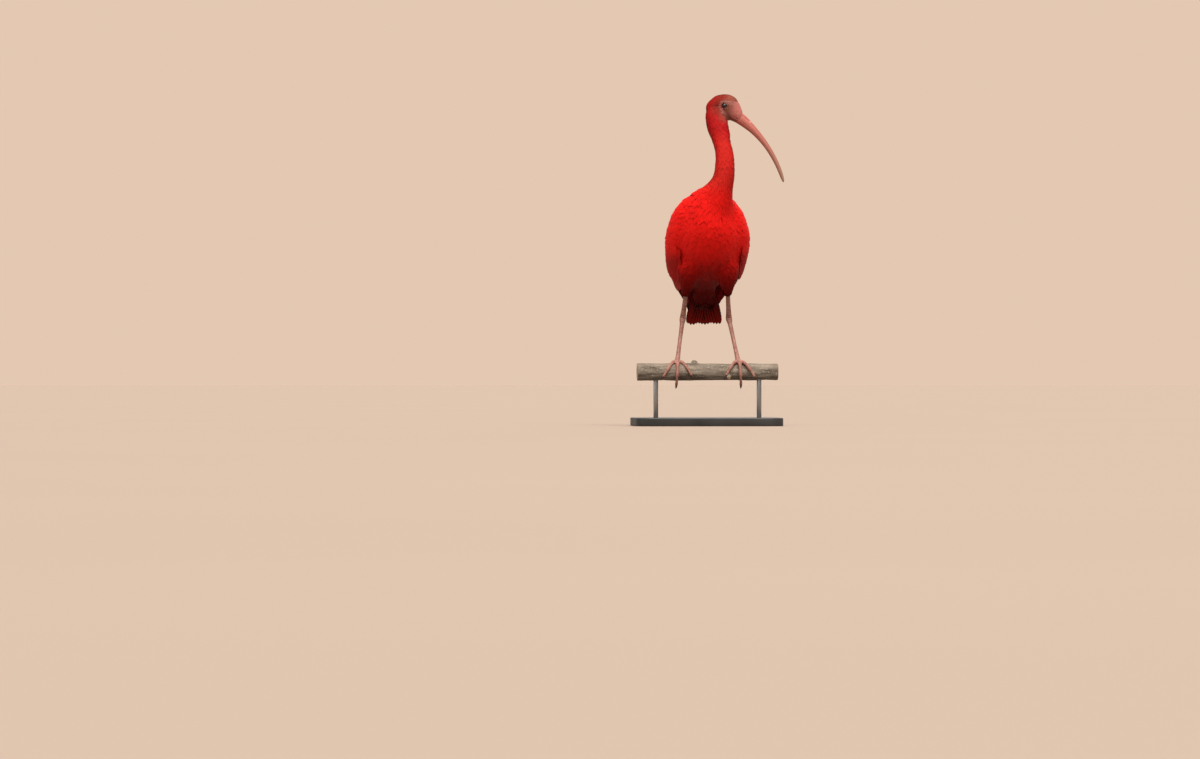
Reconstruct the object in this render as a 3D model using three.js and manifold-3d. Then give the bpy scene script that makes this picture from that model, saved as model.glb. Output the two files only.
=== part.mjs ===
// A life-size scarlet ibis, perched on a short cut length of branch over a plain display stand.
// Millimetres, +Z up. The bird faces -Y, and its left side is +X. The origin is the middle of the
// base's underside.
import * as THREE from 'three';
import { mergeVertices } from 'three/addons/utils/BufferGeometryUtils.js';
import Module from 'manifold-3d';

const wasm = await Module();
wasm.setup();

const { Vector3 } = THREE;
const gap = 0.35; // left between two neighbouring pieces
const degree = Math.PI / 180;

// Stand and perch
const base = { length: 250, depth: 176, thickness: 14, corner: 26, bevel: 1.6, centreY: 14 };
const rod = { radius: 4, spread: 88 };
const perch = { axisHeight: 92, axisY: -8, radius: 14, halfLength: 120, sides: 14 };

// Body: a fat spindle whose axis is pitched up towards the neck
const bodyPitch = 44 * degree;
const bodyCentre = new Vector3(1, 0, 312);
const torsoSections = [
  // along the axis, half width, back above the axis, belly below it, lift of the axis
  [-126, 5, 3, 4, -2],
  [-108, 17, 13, 14, -1],
  [-80, 33, 27, 29, 0],
  [-45, 48, 41, 45, 0],
  [-5, 55, 49, 57, 0],
  [35, 57, 50, 60, 0],
  [68, 48, 43, 54, 1],
  [94, 35.8, 33.4, 39, 3],
  [112, 22.4, 21, 23, 5],
  [121, 8, 8, 9, 6],
];

// The line on which the folded wing lies: along the axis, half width, half height, lift
const wingBed = [
  [-186, 14, 9, -10],
  [-140, 28, 22, -5],
  [-100, 44.5, 36, -2],
  [-60, 55, 48, 0],
  [-20, 58, 53, 0],
  [20, 57.6, 53, 0],
  [60, 50.5, 46, 1],
  [96, 35.5, 33, 3],
  [110, 24, 23, 5],
];

// Wing outline as angles round the bed: along the axis, lower edge, upper edge
const wingEdges = [
  [-186, 14, 66],
  [-140, -12, 78],
  [-100, -24, 80],
  [-60, -31, 76],
  [-20, -36, 70],
  [20, -35, 62],
  [60, -27, 52],
  [88, -6, 34],
];

// The wing is built in its own space: along the axis, share from lower to upper edge, and height.
// Its core steps down towards the rear, and each step lies under the tips of a tier of vanes.
const coreFront = 92;
const coreSteps = [
  // rear end of the step, height of its surface
  [27, 12.2],
  [-10, 10.5],
  [-64, 7.1],
];
const drawIn = {
  lowerEdge: 0.8, upperEdge: 0.5, front: 0.25, frontLength: 66, rear: 0.55, rearStart: -84, rearLength: 95,
};
const vane = { thickness: 0.6, keel: 0.15, stationStep: 30, rootDive: 1.6 };
// Tiers of vanes: for the first and the last vane, roots and tips along the axis, shares of the
// wing's depth at root and tip, and widths; then the height of the tier and the tilt of each vane
const wingTiers = {
  primaries: {
    count: 4, root: [-46, -46], tip: [-186, -134], rootShare: [0.12, 0.5], tipShare: [0.5, 0.86],
    width: [15, 14], height: 0.8, tilt: 2.4,
  },
  secondaries: {
    count: 5, root: [-44, -40], tip: [-94, -144], rootShare: [0.08, 0.62], tipShare: [0.12, 0.68],
    width: [19, 18], height: 3.9, tilt: 2.2,
  },
  tertials: {
    count: 4, root: [8, 4], tip: [-106, -160], rootShare: [0.68, 0.96], tipShare: [0.64, 0.9],
    width: [20, 19], height: 7.6, tilt: 3.2,
  },
  greaterCoverts: {
    count: 6, root: [6, 2], tip: [-68, -76], rootShare: [0.06, 0.57], tipShare: [0.09, 0.55],
    width: [18, 18], height: 7.6, tilt: 1.9,
  },
  medianCoverts: {
    count: 6, root: [42, 40], tip: [-14, -24], rootShare: [0.07, 0.62], tipShare: [0.08, 0.58],
    width: [18, 18], height: 11, tilt: 1.9,
  },
  scapulars: {
    count: 3, root: [54, 58], tip: [-36, -66], rootShare: [0.76, 0.97], tipShare: [0.73, 0.94],
    width: [22, 22], height: 11.2, tilt: 2.6,
  },
};
const vaneShape = [
  // share of the length, share of the width
  [0, 0.45],
  [0.4, 1],
  [0.78, 0.97],
  [0.92, 0.7],
  [1, 0.2],
];

// Neck: middle line from inside the breast to the nape, with the radius there
const neckLine = [
  [4, -50, 358, 39],
  [11, -66, 384, 32],
  [19, -80, 410, 20.5],
  [24.4, -84, 438, 15.1],
  [24, -79, 462, 14.1],
  [18.8, -69, 486, 15.3],
  [13.2, -58.5, 508, 17.9],
  [13, -51.5, 528, 17.3],
  [14.6, -49.5, 545, 13],
];

// Head: its own axes start between the eyes
const headOrigin = new Vector3(26, -50, 543);
const headYaw = 80 * degree;
const headPitch = 25 * degree;
const headSections = [
  // forward of the eyes, lift, half width, half height
  [-27.5, -9.5, 3, 4],
  [-23.5, -8, 11, 12.6],
  [-13, -4, 16, 18.2],
  [1, -0.6, 17.5, 20.2],
  [13, -1.3, 15.6, 19.3],
  [23, -4.2, 12.2, 15],
  [31, -7.9, 9.7, 11],
  [35, -9.8, 8.4, 9.4],
];

// Bill: an arc that starts in the face and bends down
const bill = { start: [31, -9.6], startAngle: 11.2 * degree, turn: 38.5 * degree, length: 135 };
const billSections = [
  // share of the length, half height, half width
  [0, 9.9, 7.7],
  [0.1, 8.6, 6.4],
  [0.25, 6.5, 5],
  [0.45, 4.9, 4.1],
  [0.7, 3.9, 3.5],
  [0.9, 3.1, 3.0],
  [1, 1.7, 1.8],
];
const mouthDrop = 0.22; // the line of the mouth lies this share of the half height below the middle
const nostril = { share: 0.1, length: 11, height: 1.7, depth: 3 };
const gape = { from: 33, to: 21, dropFrom: -12.8, dropTo: -12, side: 10.8, height: 1, depth: 3.4 };
const eye = { radius: 4.9, side: 13.2, ahead: 1.1, drop: 1.6, lidRadius: 4.7, lidThickness: 1.25 };

// Legs
const legShift = 1; // both legs, towards the bird's left
const hock = { side: 39.5, y: 35, z: 183.5, radius: 5.4 };
const footJoint = { side: 52, y: -2 };
const knee = { side: 30, y: -16, z: 291 };
const legRadius = { shank: 3.9, tarsus: 3.5, joint: 4.9 };
const thigh = { share: 0.64 }; // of the way from knee to hock
const thighRadii = [
  // share of the thigh, radius
  [0, 9],
  [0.12, 17],
  [0.3, 21.5],
  [0.5, 20],
  [0.75, 12.5],
  [1, 6.2],
];
const gripEnd = 78 * degree; // beyond this angle round the perch the toes hang more freely
const looseReach = 30;
const toes = [
  // name, heading away from straight ahead towards the outside, length, radius at the root
  ['middle', 3, 56, 3.9],
  ['inner', -30, 44, 3.5],
  ['outer', 32, 48, 3.6],
  ['hind', 176, 27, 3.3],
];

// Tail
const tailFan = {
  pairs: 4, rootAlong: -92, tipAlong: -177, rootLift: -6, tipLift: -20, rootHalfWidth: 11, tipHalfWidth: 27.5,
  vaneWidth: 14.5, vaneThickness: 0.8, step: 1.3, rounding: 5, swing: 3,
};

const materials = {
  feather: [0xd3160f, 0.75],
  blackTip: [0x17100f, 0.6],
  face: [0xb45a50, 0.6],
  bill: [0xb97562, 0.45],
  leg: [0xb56d62, 0.6],
  eye: [0x140806, 0.1],
  bark: [0x6d5c4a, 0.9],
  base: [0x2b2724, 0.5],
  rod: [0x8c8a86, 0.35],
};
const finish = (name) => {
  const [color, roughness] = materials[name];
  return new THREE.MeshStandardMaterial({ color, roughness, metalness: name === 'rod' ? 0.9 : 0 });
};

// Smooth value of each column of a table of sections at a place along its first column
function sectionAt(rows, place) {
  const sign = rows[0][0] < rows.at(-1)[0] ? 1 : -1;
  let i = rows.findIndex((row) => sign * row[0] > sign * place) - 1;
  if (i < -1) i = rows.length - 2;
  i = Math.max(0, i);
  const row = (k) => rows[Math.min(rows.length - 1, Math.max(0, k))];
  const span = row(i + 1)[0] - row(i)[0];
  const t = Math.min(1, Math.max(0, (place - row(i)[0]) / span));
  return row(i).slice(1).map((from, c) => {
    const to = row(i + 1)[c + 1];
    const slope = (k) => (row(k + 1)[c + 1] - row(k - 1)[c + 1]) / (row(k + 1)[0] - row(k - 1)[0]) * span;
    const [m0, m1] = [slope(i), slope(i + 1)];
    const [t2, t3] = [t * t, t * t * t];
    return from * (2 * t3 - 3 * t2 + 1) + m0 * (t3 - 2 * t2 + t) + to * (3 * t2 - 2 * t3) + m1 * (t3 - t2);
  });
}

// A closed mesh as a solid, whichever way its faces were wound
function solidOf(geometry) {
  const bare = geometry.index ? geometry.toNonIndexed() : geometry.clone();
  bare.deleteAttribute('normal');
  bare.deleteAttribute('uv');
  const merged = mergeVertices(bare, 1e-4);
  const vertProperties = merged.attributes.position.array;
  const triVerts = new Uint32Array(merged.index.array);
  const made = new wasm.Manifold(new wasm.Mesh({ numProp: 3, vertProperties, triVerts }));
  if (made.volume() > 0) return made;
  for (let i = 0; i < triVerts.length; i += 3) triVerts.subarray(i, i + 3).reverse();
  return new wasm.Manifold(new wasm.Mesh({ numProp: 3, vertProperties, triVerts }));
}

const join = (solids) => wasm.Manifold.union(solids);
const largest = (solid) => solid.decompose().reduce((a, b) => (a.volume() > b.volume() ? a : b));

function geometryOf(solid) {
  const { vertProperties, triVerts } = solid.getMesh();
  const geometry = new THREE.BufferGeometry();
  geometry.setAttribute('position', new THREE.BufferAttribute(new Float32Array(vertProperties), 3));
  geometry.setIndex(new THREE.BufferAttribute(new Uint32Array(triVerts), 1));
  geometry.computeVertexNormals();
  return geometry;
}

function geometryFrom(points, triangles) {
  const geometry = new THREE.BufferGeometry();
  geometry.setAttribute('position', new THREE.Float32BufferAttribute(points.flatMap((p) => p.toArray()), 3));
  geometry.setIndex(triangles.flat());
  return geometry;
}

// Closed skin over a row of rings with equal counts, each end closed by a fan
function loft(rings) {
  const sides = rings[0].length;
  const triangles = [];
  for (let i = 0; i + 1 < rings.length; i++) {
    for (let j = 0; j < sides; j++) {
      const [a, b] = [i * sides + j, i * sides + (j + 1) % sides];
      triangles.push([a, b, a + sides], [b, b + sides, a + sides]);
    }
  }
  const points = rings.flat();
  for (const [ring, start, flip] of [[rings[0], 0, true], [rings.at(-1), points.length - sides, false]]) {
    const middle = ring.reduce((sum, p) => sum.add(p), new Vector3()).divideScalar(sides);
    const hub = points.push(middle) - 1;
    for (let j = 0; j < sides; j++) {
      const edge = [start + j, start + (j + 1) % sides];
      triangles.push(flip ? [edge[1], edge[0], hub] : [edge[0], edge[1], hub]);
    }
  }
  return solidOf(geometryFrom(points, triangles));
}

// Closed plate between an outer and an inner sheet of equal grids, split alike on both faces
function plate(outer, inner) {
  const [rows, columns] = [outer.length, outer[0].length];
  const at = (i, j) => i * columns + j;
  const under = rows * columns;
  const triangles = [];
  const quad = (a, b, c, d) => triangles.push([a, b, c], [a, c, d]);
  for (let i = 0; i + 1 < rows; i++) {
    for (let j = 0; j + 1 < columns; j++) {
      const [a, b, c, d] = [at(i, j), at(i + 1, j), at(i + 1, j + 1), at(i, j + 1)];
      quad(a, b, c, d);
      triangles.push([under + a, under + c, under + b], [under + a, under + d, under + c]);
    }
  }
  for (let i = 0; i + 1 < rows; i++) {
    const [near, far] = [at(i, 0), at(i, columns - 1)];
    quad(near + columns, near, under + near, under + near + columns);
    quad(far, far + columns, under + far + columns, under + far);
  }
  for (let j = 0; j + 1 < columns; j++) {
    quad(at(0, j), at(0, j + 1), under + at(0, j + 1), under + at(0, j));
    quad(at(rows - 1, j + 1), at(rows - 1, j), under + at(rows - 1, j), under + at(rows - 1, j + 1));
  }
  return solidOf(geometryFrom([...outer.flat(), ...inner.flat()], triangles));
}

// Tube of changing radius along a row of points; flatten squashes it along `up`
function tube(points, radii, sides = 10, up = new Vector3(0, 0, 1), flatten = 1) {
  const rings = points.map((p, i) => {
    const [before, after] = [points[Math.max(0, i - 1)], points[Math.min(points.length - 1, i + 1)]];
    const ahead = after.clone().sub(before).normalize();
    const across = new Vector3().crossVectors(ahead, up).normalize();
    const over = new Vector3().crossVectors(across, ahead);
    return Array.from({ length: sides }, (_, k) => {
      const turn = (2 * Math.PI * (k + 0.5)) / sides;
      return p.clone()
        .addScaledVector(across, Math.cos(turn) * radii[i])
        .addScaledVector(over, Math.sin(turn) * radii[i] * flatten);
    });
  });
  return loft(rings);
}

const spread = (from, to, count) => (
  Array.from({ length: count }, (_, i) => from + ((to - from) * i) / (count - 1))
);

// A point given along the body's axis, out to one side and up towards the back
const bodyForward = new Vector3(0, -Math.cos(bodyPitch), Math.sin(bodyPitch));
const bodyUp = new Vector3(0, Math.sin(bodyPitch), Math.cos(bodyPitch));
function bodyPoint(along, side, up) {
  const p = bodyCentre.clone().addScaledVector(bodyForward, along).addScaledVector(bodyUp, up);
  return p.setX(p.x + side);
}

function torso(grow = 0) {
  const places = spread(torsoSections[0][0], torsoSections.at(-1)[0], 17);
  const sides = 26;
  return loft(places.map((along) => {
    const [width, back, belly, lift] = sectionAt(torsoSections, along);
    return Array.from({ length: sides }, (_, k) => {
      const turn = (2 * Math.PI * k) / sides;
      const height = (Math.sin(turn) > 0 ? back : belly) + grow;
      return bodyPoint(along, Math.cos(turn) * (width + grow), lift + Math.sin(turn) * height);
    });
  }));
}

function neck(grow = 0) {
  const curve = new THREE.CatmullRomCurve3(neckLine.map(([x, y, z]) => new Vector3(x, y, z)));
  const radiusRows = neckLine.map(([, , , radius], i) => [i / (neckLine.length - 1), radius]);
  const steps = spread(0, 1, 15);
  const radii = steps.map((t) => sectionAt(radiusRows, t)[0] + grow);
  return tube(steps.map((t) => curve.getPoint(t)), radii, 18, new Vector3(0, 1, 0));
}

// The head's own directions: ahead towards the bill, out to its left, and up
const headAhead = new Vector3(
  Math.cos(headPitch) * Math.sin(headYaw),
  -Math.cos(headPitch) * Math.cos(headYaw),
  -Math.sin(headPitch),
);
const headLeft = new Vector3(Math.cos(headYaw), Math.sin(headYaw), 0);
const headUp = new Vector3().crossVectors(headAhead, headLeft);
if (headUp.z < 0) headUp.negate();
function headPoint(ahead, left, up) {
  return headOrigin.clone()
    .addScaledVector(headAhead, ahead)
    .addScaledVector(headLeft, left)
    .addScaledVector(headUp, up);
}

function skull(grow = 0) {
  const sides = 20;
  return loft(spread(headSections[0][0], headSections.at(-1)[0], 12).map((ahead) => {
    const [lift, width, height] = sectionAt(headSections, ahead);
    return Array.from({ length: sides }, (_, k) => {
      const turn = (2 * Math.PI * k) / sides;
      return headPoint(ahead, Math.cos(turn) * (width + grow), lift + Math.sin(turn) * (height + grow));
    });
  }));
}

// The corner of the mouth runs on into the face as a narrow groove
function gapeCutter(side) {
  const ahead = headPoint(gape.from, side * gape.side, gape.dropFrom);
  const back = headPoint(gape.to, side * (gape.side + 1), gape.dropTo);
  const slit = new THREE.SphereGeometry(0.5, 8, 6).scale(ahead.distanceTo(back), gape.height, gape.depth);
  const along = ahead.clone().sub(back).normalize();
  const out = new Vector3().crossVectors(along, headUp).normalize();
  const over = new Vector3().crossVectors(out, along);
  slit.applyMatrix4(new THREE.Matrix4().makeBasis(along, over, out));
  return solidOf(slit.translate(...ahead.add(back).divideScalar(2).toArray()));
}

// Eyeball of one side, and the ring of its lids
const eyeCentre = (side) => headPoint(eye.ahead, side * eye.side, -eye.drop);
function ball(centre, radius, wide = 14, high = 9) {
  const sphere = new THREE.SphereGeometry(radius, wide, high);
  return solidOf(sphere.translate(...centre.toArray()));
}
function lids(side) {
  const ring = new THREE.TorusGeometry(eye.lidRadius, eye.lidThickness, 5, 14);
  const outward = headLeft.clone().multiplyScalar(side);
  ring.scale(1.12, 0.94, 1);
  ring.applyMatrix4(new THREE.Matrix4().makeBasis(headAhead, headUp, headLeft));
  return solidOf(ring.translate(...eyeCentre(side).addScaledVector(outward, eye.radius * 0.62).toArray()));
}

// Frame of the bill at a share of its length: the middle point and the way up from it
function billFrame(share) {
  const radius = bill.length / bill.turn;
  const angle = bill.startAngle + bill.turn * share;
  const ahead = bill.start[0] + radius * (Math.sin(angle) - Math.sin(bill.startAngle));
  const up = bill.start[1] - radius * (Math.cos(bill.startAngle) - Math.cos(angle));
  const upward = headPoint(Math.sin(angle), 0, Math.cos(angle)).sub(headOrigin);
  return { middle: headPoint(ahead, 0, up), upward };
}

// One half of the bill; the upper half carries a shallow groove along each side
function mandible(isUpper) {
  const shares = spread(isUpper ? -0.03 : -0.02, 1, 14);
  const arc = isUpper ? [0, 24, 46, 62, 90, 118, 134, 156, 180] : [0, 30, 60, 90, 120, 150, 180];
  return loft(shares.map((share) => {
    const { middle, upward } = billFrame(share);
    const [halfHeight, halfWidth] = sectionAt(billSections, Math.max(0, share));
    const mouth = -mouthDrop * halfHeight + (isUpper ? gap / 2 : -gap / 2);
    const height = isUpper ? halfHeight - mouth : -halfHeight - mouth;
    return arc.map((turn) => {
      const groove = isUpper && (turn === 46 || turn === 134) ? 0.86 : 1;
      return middle.clone()
        .addScaledVector(headLeft, Math.cos(turn * degree) * halfWidth * groove)
        .addScaledVector(upward, mouth + Math.sin(turn * degree) * height * groove);
    });
  }));
}

function nostrilCutter(side) {
  const { middle, upward } = billFrame(nostril.share);
  const [halfHeight, halfWidth] = sectionAt(billSections, nostril.share);
  const slit = new THREE.SphereGeometry(0.5, 8, 6);
  slit.scale(nostril.length, nostril.height, nostril.depth);
  const ahead = new Vector3().crossVectors(upward, headLeft);
  slit.applyMatrix4(new THREE.Matrix4().makeBasis(ahead, upward, headLeft));
  const place = middle.clone()
    .addScaledVector(upward, halfHeight * 0.36)
    .addScaledVector(headLeft, side * halfWidth * 0.86);
  return solidOf(slit.translate(...place.toArray()));
}

// A point of the folded wing: along the axis, angle round the bed, height above it
function wingPoint(side, along, angle, height) {
  const [width, high, lift] = sectionAt(wingBed, along);
  const turn = angle * degree;
  const out = new Vector3(Math.cos(turn) / width, Math.sin(turn) / high, 0).normalize();
  return bodyPoint(
    along,
    side * (Math.cos(turn) * width + out.x * height),
    lift + Math.sin(turn) * high + out.y * height,
  );
}

// The wing's own space, with heights drawn in towards its edges, its front and its rear
const clamp01 = (value) => Math.min(1, Math.max(0, value));
function wingSpace(side, along, share, height, rise = 0) {
  const [low, up] = sectionAt(wingEdges, along);
  const edge = Math.sin(Math.PI * clamp01(share)) ** 0.6;
  const least = share < 0.5 ? drawIn.lowerEdge : drawIn.upperEdge;
  const front = Math.sin((Math.PI / 2) * clamp01((coreFront - along) / drawIn.frontLength));
  const rear = clamp01((drawIn.rearStart - along) / drawIn.rearLength);
  const drawn = (least + (1 - least) * edge)
    * (drawIn.front + (1 - drawIn.front) * front)
    * (1 - (1 - drawIn.rear) * rear);
  return wingPoint(side, along, low + (up - low) * share, 1.2 + height * drawn + rise);
}

// Share of the wing's depth that a length in millimetres takes at a place along it
function shareOf(length, along, share) {
  const [low, up] = sectionAt(wingEdges, along);
  const from = wingPoint(1, along, low + (up - low) * (share - 0.02), 0);
  const to = wingPoint(1, along, low + (up - low) * (share + 0.02), 0);
  return (length * 0.04) / from.distanceTo(to);
}

function wingCore(side) {
  const rows = coreSteps.flatMap(([rear, top], i) => {
    const front = i === 0 ? coreFront : coreSteps[i - 1][0] - 0.6;
    return spread(front, rear, Math.round((front - rear) / 18) + 1).map((along) => [along, top]);
  });
  const shares = spread(0.04, 0.97, 8);
  const sheet = (isOuter) => rows.map(([along, top]) => shares.map((share) => (
    wingSpace(side, along, share, isOuter ? top : 0)
  )));
  return plate(sheet(true), sheet(false));
}

// One vane: its edge nearer the back is tucked under, the other lies over the next vane down
function wingVane(side, { root, tip, rootShare, tipShare, width, height, tilt }) {
  const inner = Math.round((0.8 * (root - tip)) / vane.stationStep);
  const steps = [...spread(0, 0.8, inner + 1), 0.93, 1];
  const sheet = (rise) => steps.map((t, i) => {
    const along = root + (tip - root) * t;
    const middle = rootShare + (tipShare - rootShare) * t;
    const half = shareOf((width * sectionAt(vaneShape, t)[0]) / 2, along, middle);
    return [1, 0, -1].map((across) => {
      const lift = height + (tilt * (1 - across)) / 2 + (across === 0 ? vane.keel : 0);
      return wingSpace(side, along, middle + across * half, lift, rise - (i === 0 ? vane.rootDive : 0));
    });
  });
  return plate(sheet(vane.thickness), sheet(0));
}

const between = ([first, last], t) => first + (last - first) * t;
function wingVanes(side, { count, height, tilt, ...ends }) {
  return spread(0, 1, count).map((t) => {
    const placed = Object.fromEntries(Object.entries(ends).map(([key, pair]) => [key, between(pair, t)]));
    return wingVane(side, { ...placed, height, tilt });
  });
}

function wingSolid(side) {
  return join([wingCore(side), ...Object.values(wingTiers).flatMap((tier) => wingVanes(side, tier))]);
}

// The tail: pairs of vanes fanned like a low roof, the middle pair uppermost, on a feathered root
function tailSolid() {
  const fan = tailFan;
  const lengthOf = fan.rootAlong - fan.tipAlong;
  const vanes = spread(-1, 1, fan.pairs * 2).map((out) => {
    const side = Math.sign(out);
    const rank = Math.abs(out) * (fan.pairs - 0.5) - 0.5;
    const reach = lengthOf - fan.rounding * out * out;
    const steps = [0, 0.45, 0.84, 0.95, 1];
    const sheet = (rise) => steps.map((t) => {
      const along = fan.rootAlong - reach * t;
      const middle = out * (fan.rootHalfWidth + (fan.tipHalfWidth - fan.rootHalfWidth) * t) + fan.swing * t;
      const lift = fan.rootLift + (fan.tipLift - fan.rootLift) * t - fan.step * rank;
      const half = (fan.vaneWidth * sectionAt(vaneShape, t)[0]) / 2;
      return [-1, 0, 1].map((across) => {
        const drop = (across * side + 1) * 0.5 * fan.step * 0.9 - (side < 0 ? 0.25 : 0);
        return bodyPoint(along, middle + across * half, lift - drop + rise);
      });
    });
    return plate(sheet(fan.vaneThickness), sheet(0));
  });
  const coverts = [
    // along, half width, half height, lift
    [fan.rootAlong + 4, 20, 12, -10],
    [-112, 21, 10, -13.5],
    [-131, 20, 6.5, -17],
    [-147, 14, 3, -20.5],
  ].map(([along, width, height, lift]) => Array.from({ length: 12 }, (_, k) => {
    const turn = (2 * Math.PI * k) / 12;
    return bodyPoint(along, Math.cos(turn) * width, lift + Math.sin(turn) * height);
  }));
  return join([loft(coverts), ...vanes]);
}

// Leg of one side: feathered thigh, bare shank and tarsus in one, and the foot
const perchTop = perch.axisHeight + perch.radius;
const legPoint = (side, { side: out, y, z }) => new Vector3(legShift + side * out, y, z);
const ankle = (side) => legPoint(side, { ...footJoint, z: perchTop + legRadius.joint - 1.6 });
const ankleBall = (side, grow = 0) => ball(ankle(side), legRadius.joint + 0.8 + grow, 12, 8);
function thighSolid(side, grow = 0) {
  const [top, end] = [legPoint(side, knee), legPoint(side, hock)];
  const shares = spread(0, 1, 10);
  const radii = shares.map((share) => grow + sectionAt(thighRadii, share)[0]);
  return tube(shares.map((share) => top.clone().lerp(end, share * thigh.share)), radii, 14);
}
function shankAndTarsus(side) {
  const [top, bend, foot] = [legPoint(side, knee), legPoint(side, hock), ankle(side)];
  const upper = [0.5, 0.7, 0.86, 0.95].map((t) => top.clone().lerp(bend, t));
  const lower = [0.06, 0.14, 0.4, 0.7, 0.88, 1].map((t) => bend.clone().lerp(foot, t));
  const radii = [
    legRadius.shank, legRadius.shank, legRadius.shank + 0.3, hock.radius - 0.6, hock.radius,
    hock.radius - 0.4, legRadius.tarsus + 0.5, legRadius.tarsus, legRadius.tarsus,
    legRadius.tarsus + 0.5, legRadius.joint,
  ];
  return tube([...upper, bend, ...lower], radii, 10, new Vector3(1, 0, 0));
}

// A toe bends round the perch from the top, with its claw at the end
function toe(side, [name, heading, length, radius]) {
  const reach = perch.radius + radius * 0.86;
  const outward = Math.sin(heading * degree) * side;
  const onward = Math.cos(heading * degree);
  const from = Math.asin((perch.axisY - footJoint.y) / reach);
  const place = (travel) => {
    const wrap = Math.max(-gripEnd, Math.min(gripEnd, from + (travel * onward) / reach));
    const rest = travel * onward - (wrap - from) * reach;
    const turn = wrap + rest / (2 * looseReach);
    const start = legPoint(side, footJoint);
    return new Vector3(
      start.x + outward * travel,
      perch.axisY - Math.sin(wrap) * reach - Math.cos(turn) * rest,
      perch.axisHeight + Math.cos(wrap) * reach - Math.sin(turn) * rest,
    );
  };
  const knuckles = name === 'hind' ? 1 : 3;
  const steps = spread(0, length, 7);
  const swell = (t) => 0.35 * Math.cos(2 * Math.PI * knuckles * t);
  const radii = steps.map((s) => radius * (1 - 0.38 * (s / length)) + swell(s / length));
  const flesh = tube(steps.map(place), radii, 6, new Vector3(1, 0, 0));
  const clawSteps = [length - 2.5, length + 3.5, length + 8.5];
  const claw = tube(clawSteps.map(place), [1.9, 1.5, 0.35], 6, new Vector3(1, 0, 0));
  return join([flesh, claw]);
}
function footSolid(side) {
  return join([...toes.map((row) => toe(side, row)), ankleBall(side)]);
}

// Stand: a base with rounded corners, two rods, and the cut branch
function roundedPlate({ length, depth, thickness, corner, bevel, centreY }) {
  const [x, y, r] = [length / 2 - bevel, depth / 2 - bevel, corner - bevel];
  const outline = new THREE.Shape();
  outline.absarc(x - r, y - r, r, 0, Math.PI / 2);
  outline.absarc(-x + r, y - r, r, Math.PI / 2, Math.PI);
  outline.absarc(-x + r, -y + r, r, Math.PI, 1.5 * Math.PI);
  outline.absarc(x - r, -y + r, r, 1.5 * Math.PI, 2 * Math.PI);
  const made = new THREE.ExtrudeGeometry(outline, {
    depth: thickness - 2 * bevel, curveSegments: 5, bevelThickness: bevel, bevelSize: bevel, bevelSegments: 1,
  });
  return solidOf(made.translate(0, centreY, bevel));
}
function branch(grow = 0) {
  const places = spread(-perch.halfLength, perch.halfLength, 12);
  const bend = (x) => 1.6 * Math.sin(x / 46);
  const radii = places.map((x, i) => grow + perch.radius + 0.5 * Math.sin(i * 2.3) + (x < 0 ? 0.6 : 0));
  const line = places.map((x) => new Vector3(x, perch.axisY + bend(x), perch.axisHeight));
  const wood = tube(line, radii, perch.sides);
  const twigs = [[-26, 60, 5], [30, -150, 4.2]].map(([x, angle, radius]) => {
    const turn = angle * degree;
    const out = new Vector3(0.25, Math.cos(turn), Math.sin(turn)).normalize();
    const root = new Vector3(x, perch.axisY, perch.axisHeight).addScaledVector(out, perch.radius - 5);
    return tube([root, root.clone().addScaledVector(out, 12)], [radius + 1.5 + grow, radius + grow], 10);
  });
  return join([wood, ...twigs]);
}
function rodSolid(side) {
  const height = perch.axisHeight - base.thickness;
  const cylinder = new THREE.CylinderGeometry(rod.radius, rod.radius, height, 16).rotateX(Math.PI / 2);
  return solidOf(cylinder.translate(side * rod.spread, perch.axisY, base.thickness + gap + height / 2));
}

const group = new THREE.Group();
function add(name, solid, material) {
  const mesh = new THREE.Mesh(geometryOf(largest(solid)), finish(material));
  mesh.name = name;
  group.add(mesh);
}

const torsoGrown = torso(gap);
const skullGrown = skull(gap);
const neckGrown = neck(gap);
const sides = [['left', 1], ['right', -1]];

let head = join([skull(), ...sides.map(([, side]) => lids(side))]);
for (const [, side] of sides) {
  head = head.subtract(ball(eyeCentre(side), eye.radius + gap)).subtract(gapeCutter(side));
}
add('head', head, 'feather');
for (const [name, side] of sides) add(`eye_${name}`, ball(eyeCentre(side), eye.radius), 'eye');
add('neck', neck().subtract(torsoGrown).subtract(skullGrown), 'feather');
add('torso', torso(), 'feather');
let upperBill = mandible(true).subtract(skullGrown);
for (const [, side] of sides) upperBill = upperBill.subtract(nostrilCutter(side));
add('bill_upper', upperBill, 'bill');
add('bill_lower', mandible(false).subtract(skullGrown), 'bill');

add('tail', tailSolid().subtract(torsoGrown), 'feather');
for (const [name, side] of sides) {
  const thighGrown = thighSolid(side, gap);
  const wing = wingSolid(side).subtract(torsoGrown).subtract(thighGrown).subtract(neckGrown);
  add(`wing_${name}`, wing, 'feather');
  add(`thigh_${name}`, thighSolid(side).subtract(torsoGrown), 'feather');
  const bareLeg = shankAndTarsus(side).subtract(thighGrown).subtract(torsoGrown);
  add(`leg_${name}`, bareLeg.subtract(ankleBall(side, gap)), 'leg');
  add(`foot_${name}`, footSolid(side).subtract(branch(gap)), 'leg');
  add(`stand_rod_${name}`, rodSolid(side).subtract(branch(gap)), 'rod');
}
add('stand_branch', branch(), 'bark');
add('stand_base', roundedPlate(base), 'base');

export default group;
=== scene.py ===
import math

import bmesh
import bpy
import numpy as np
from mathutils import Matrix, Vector, noise
from mathutils.bvhtree import BVHTree
from mathutils.kdtree import KDTree


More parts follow.
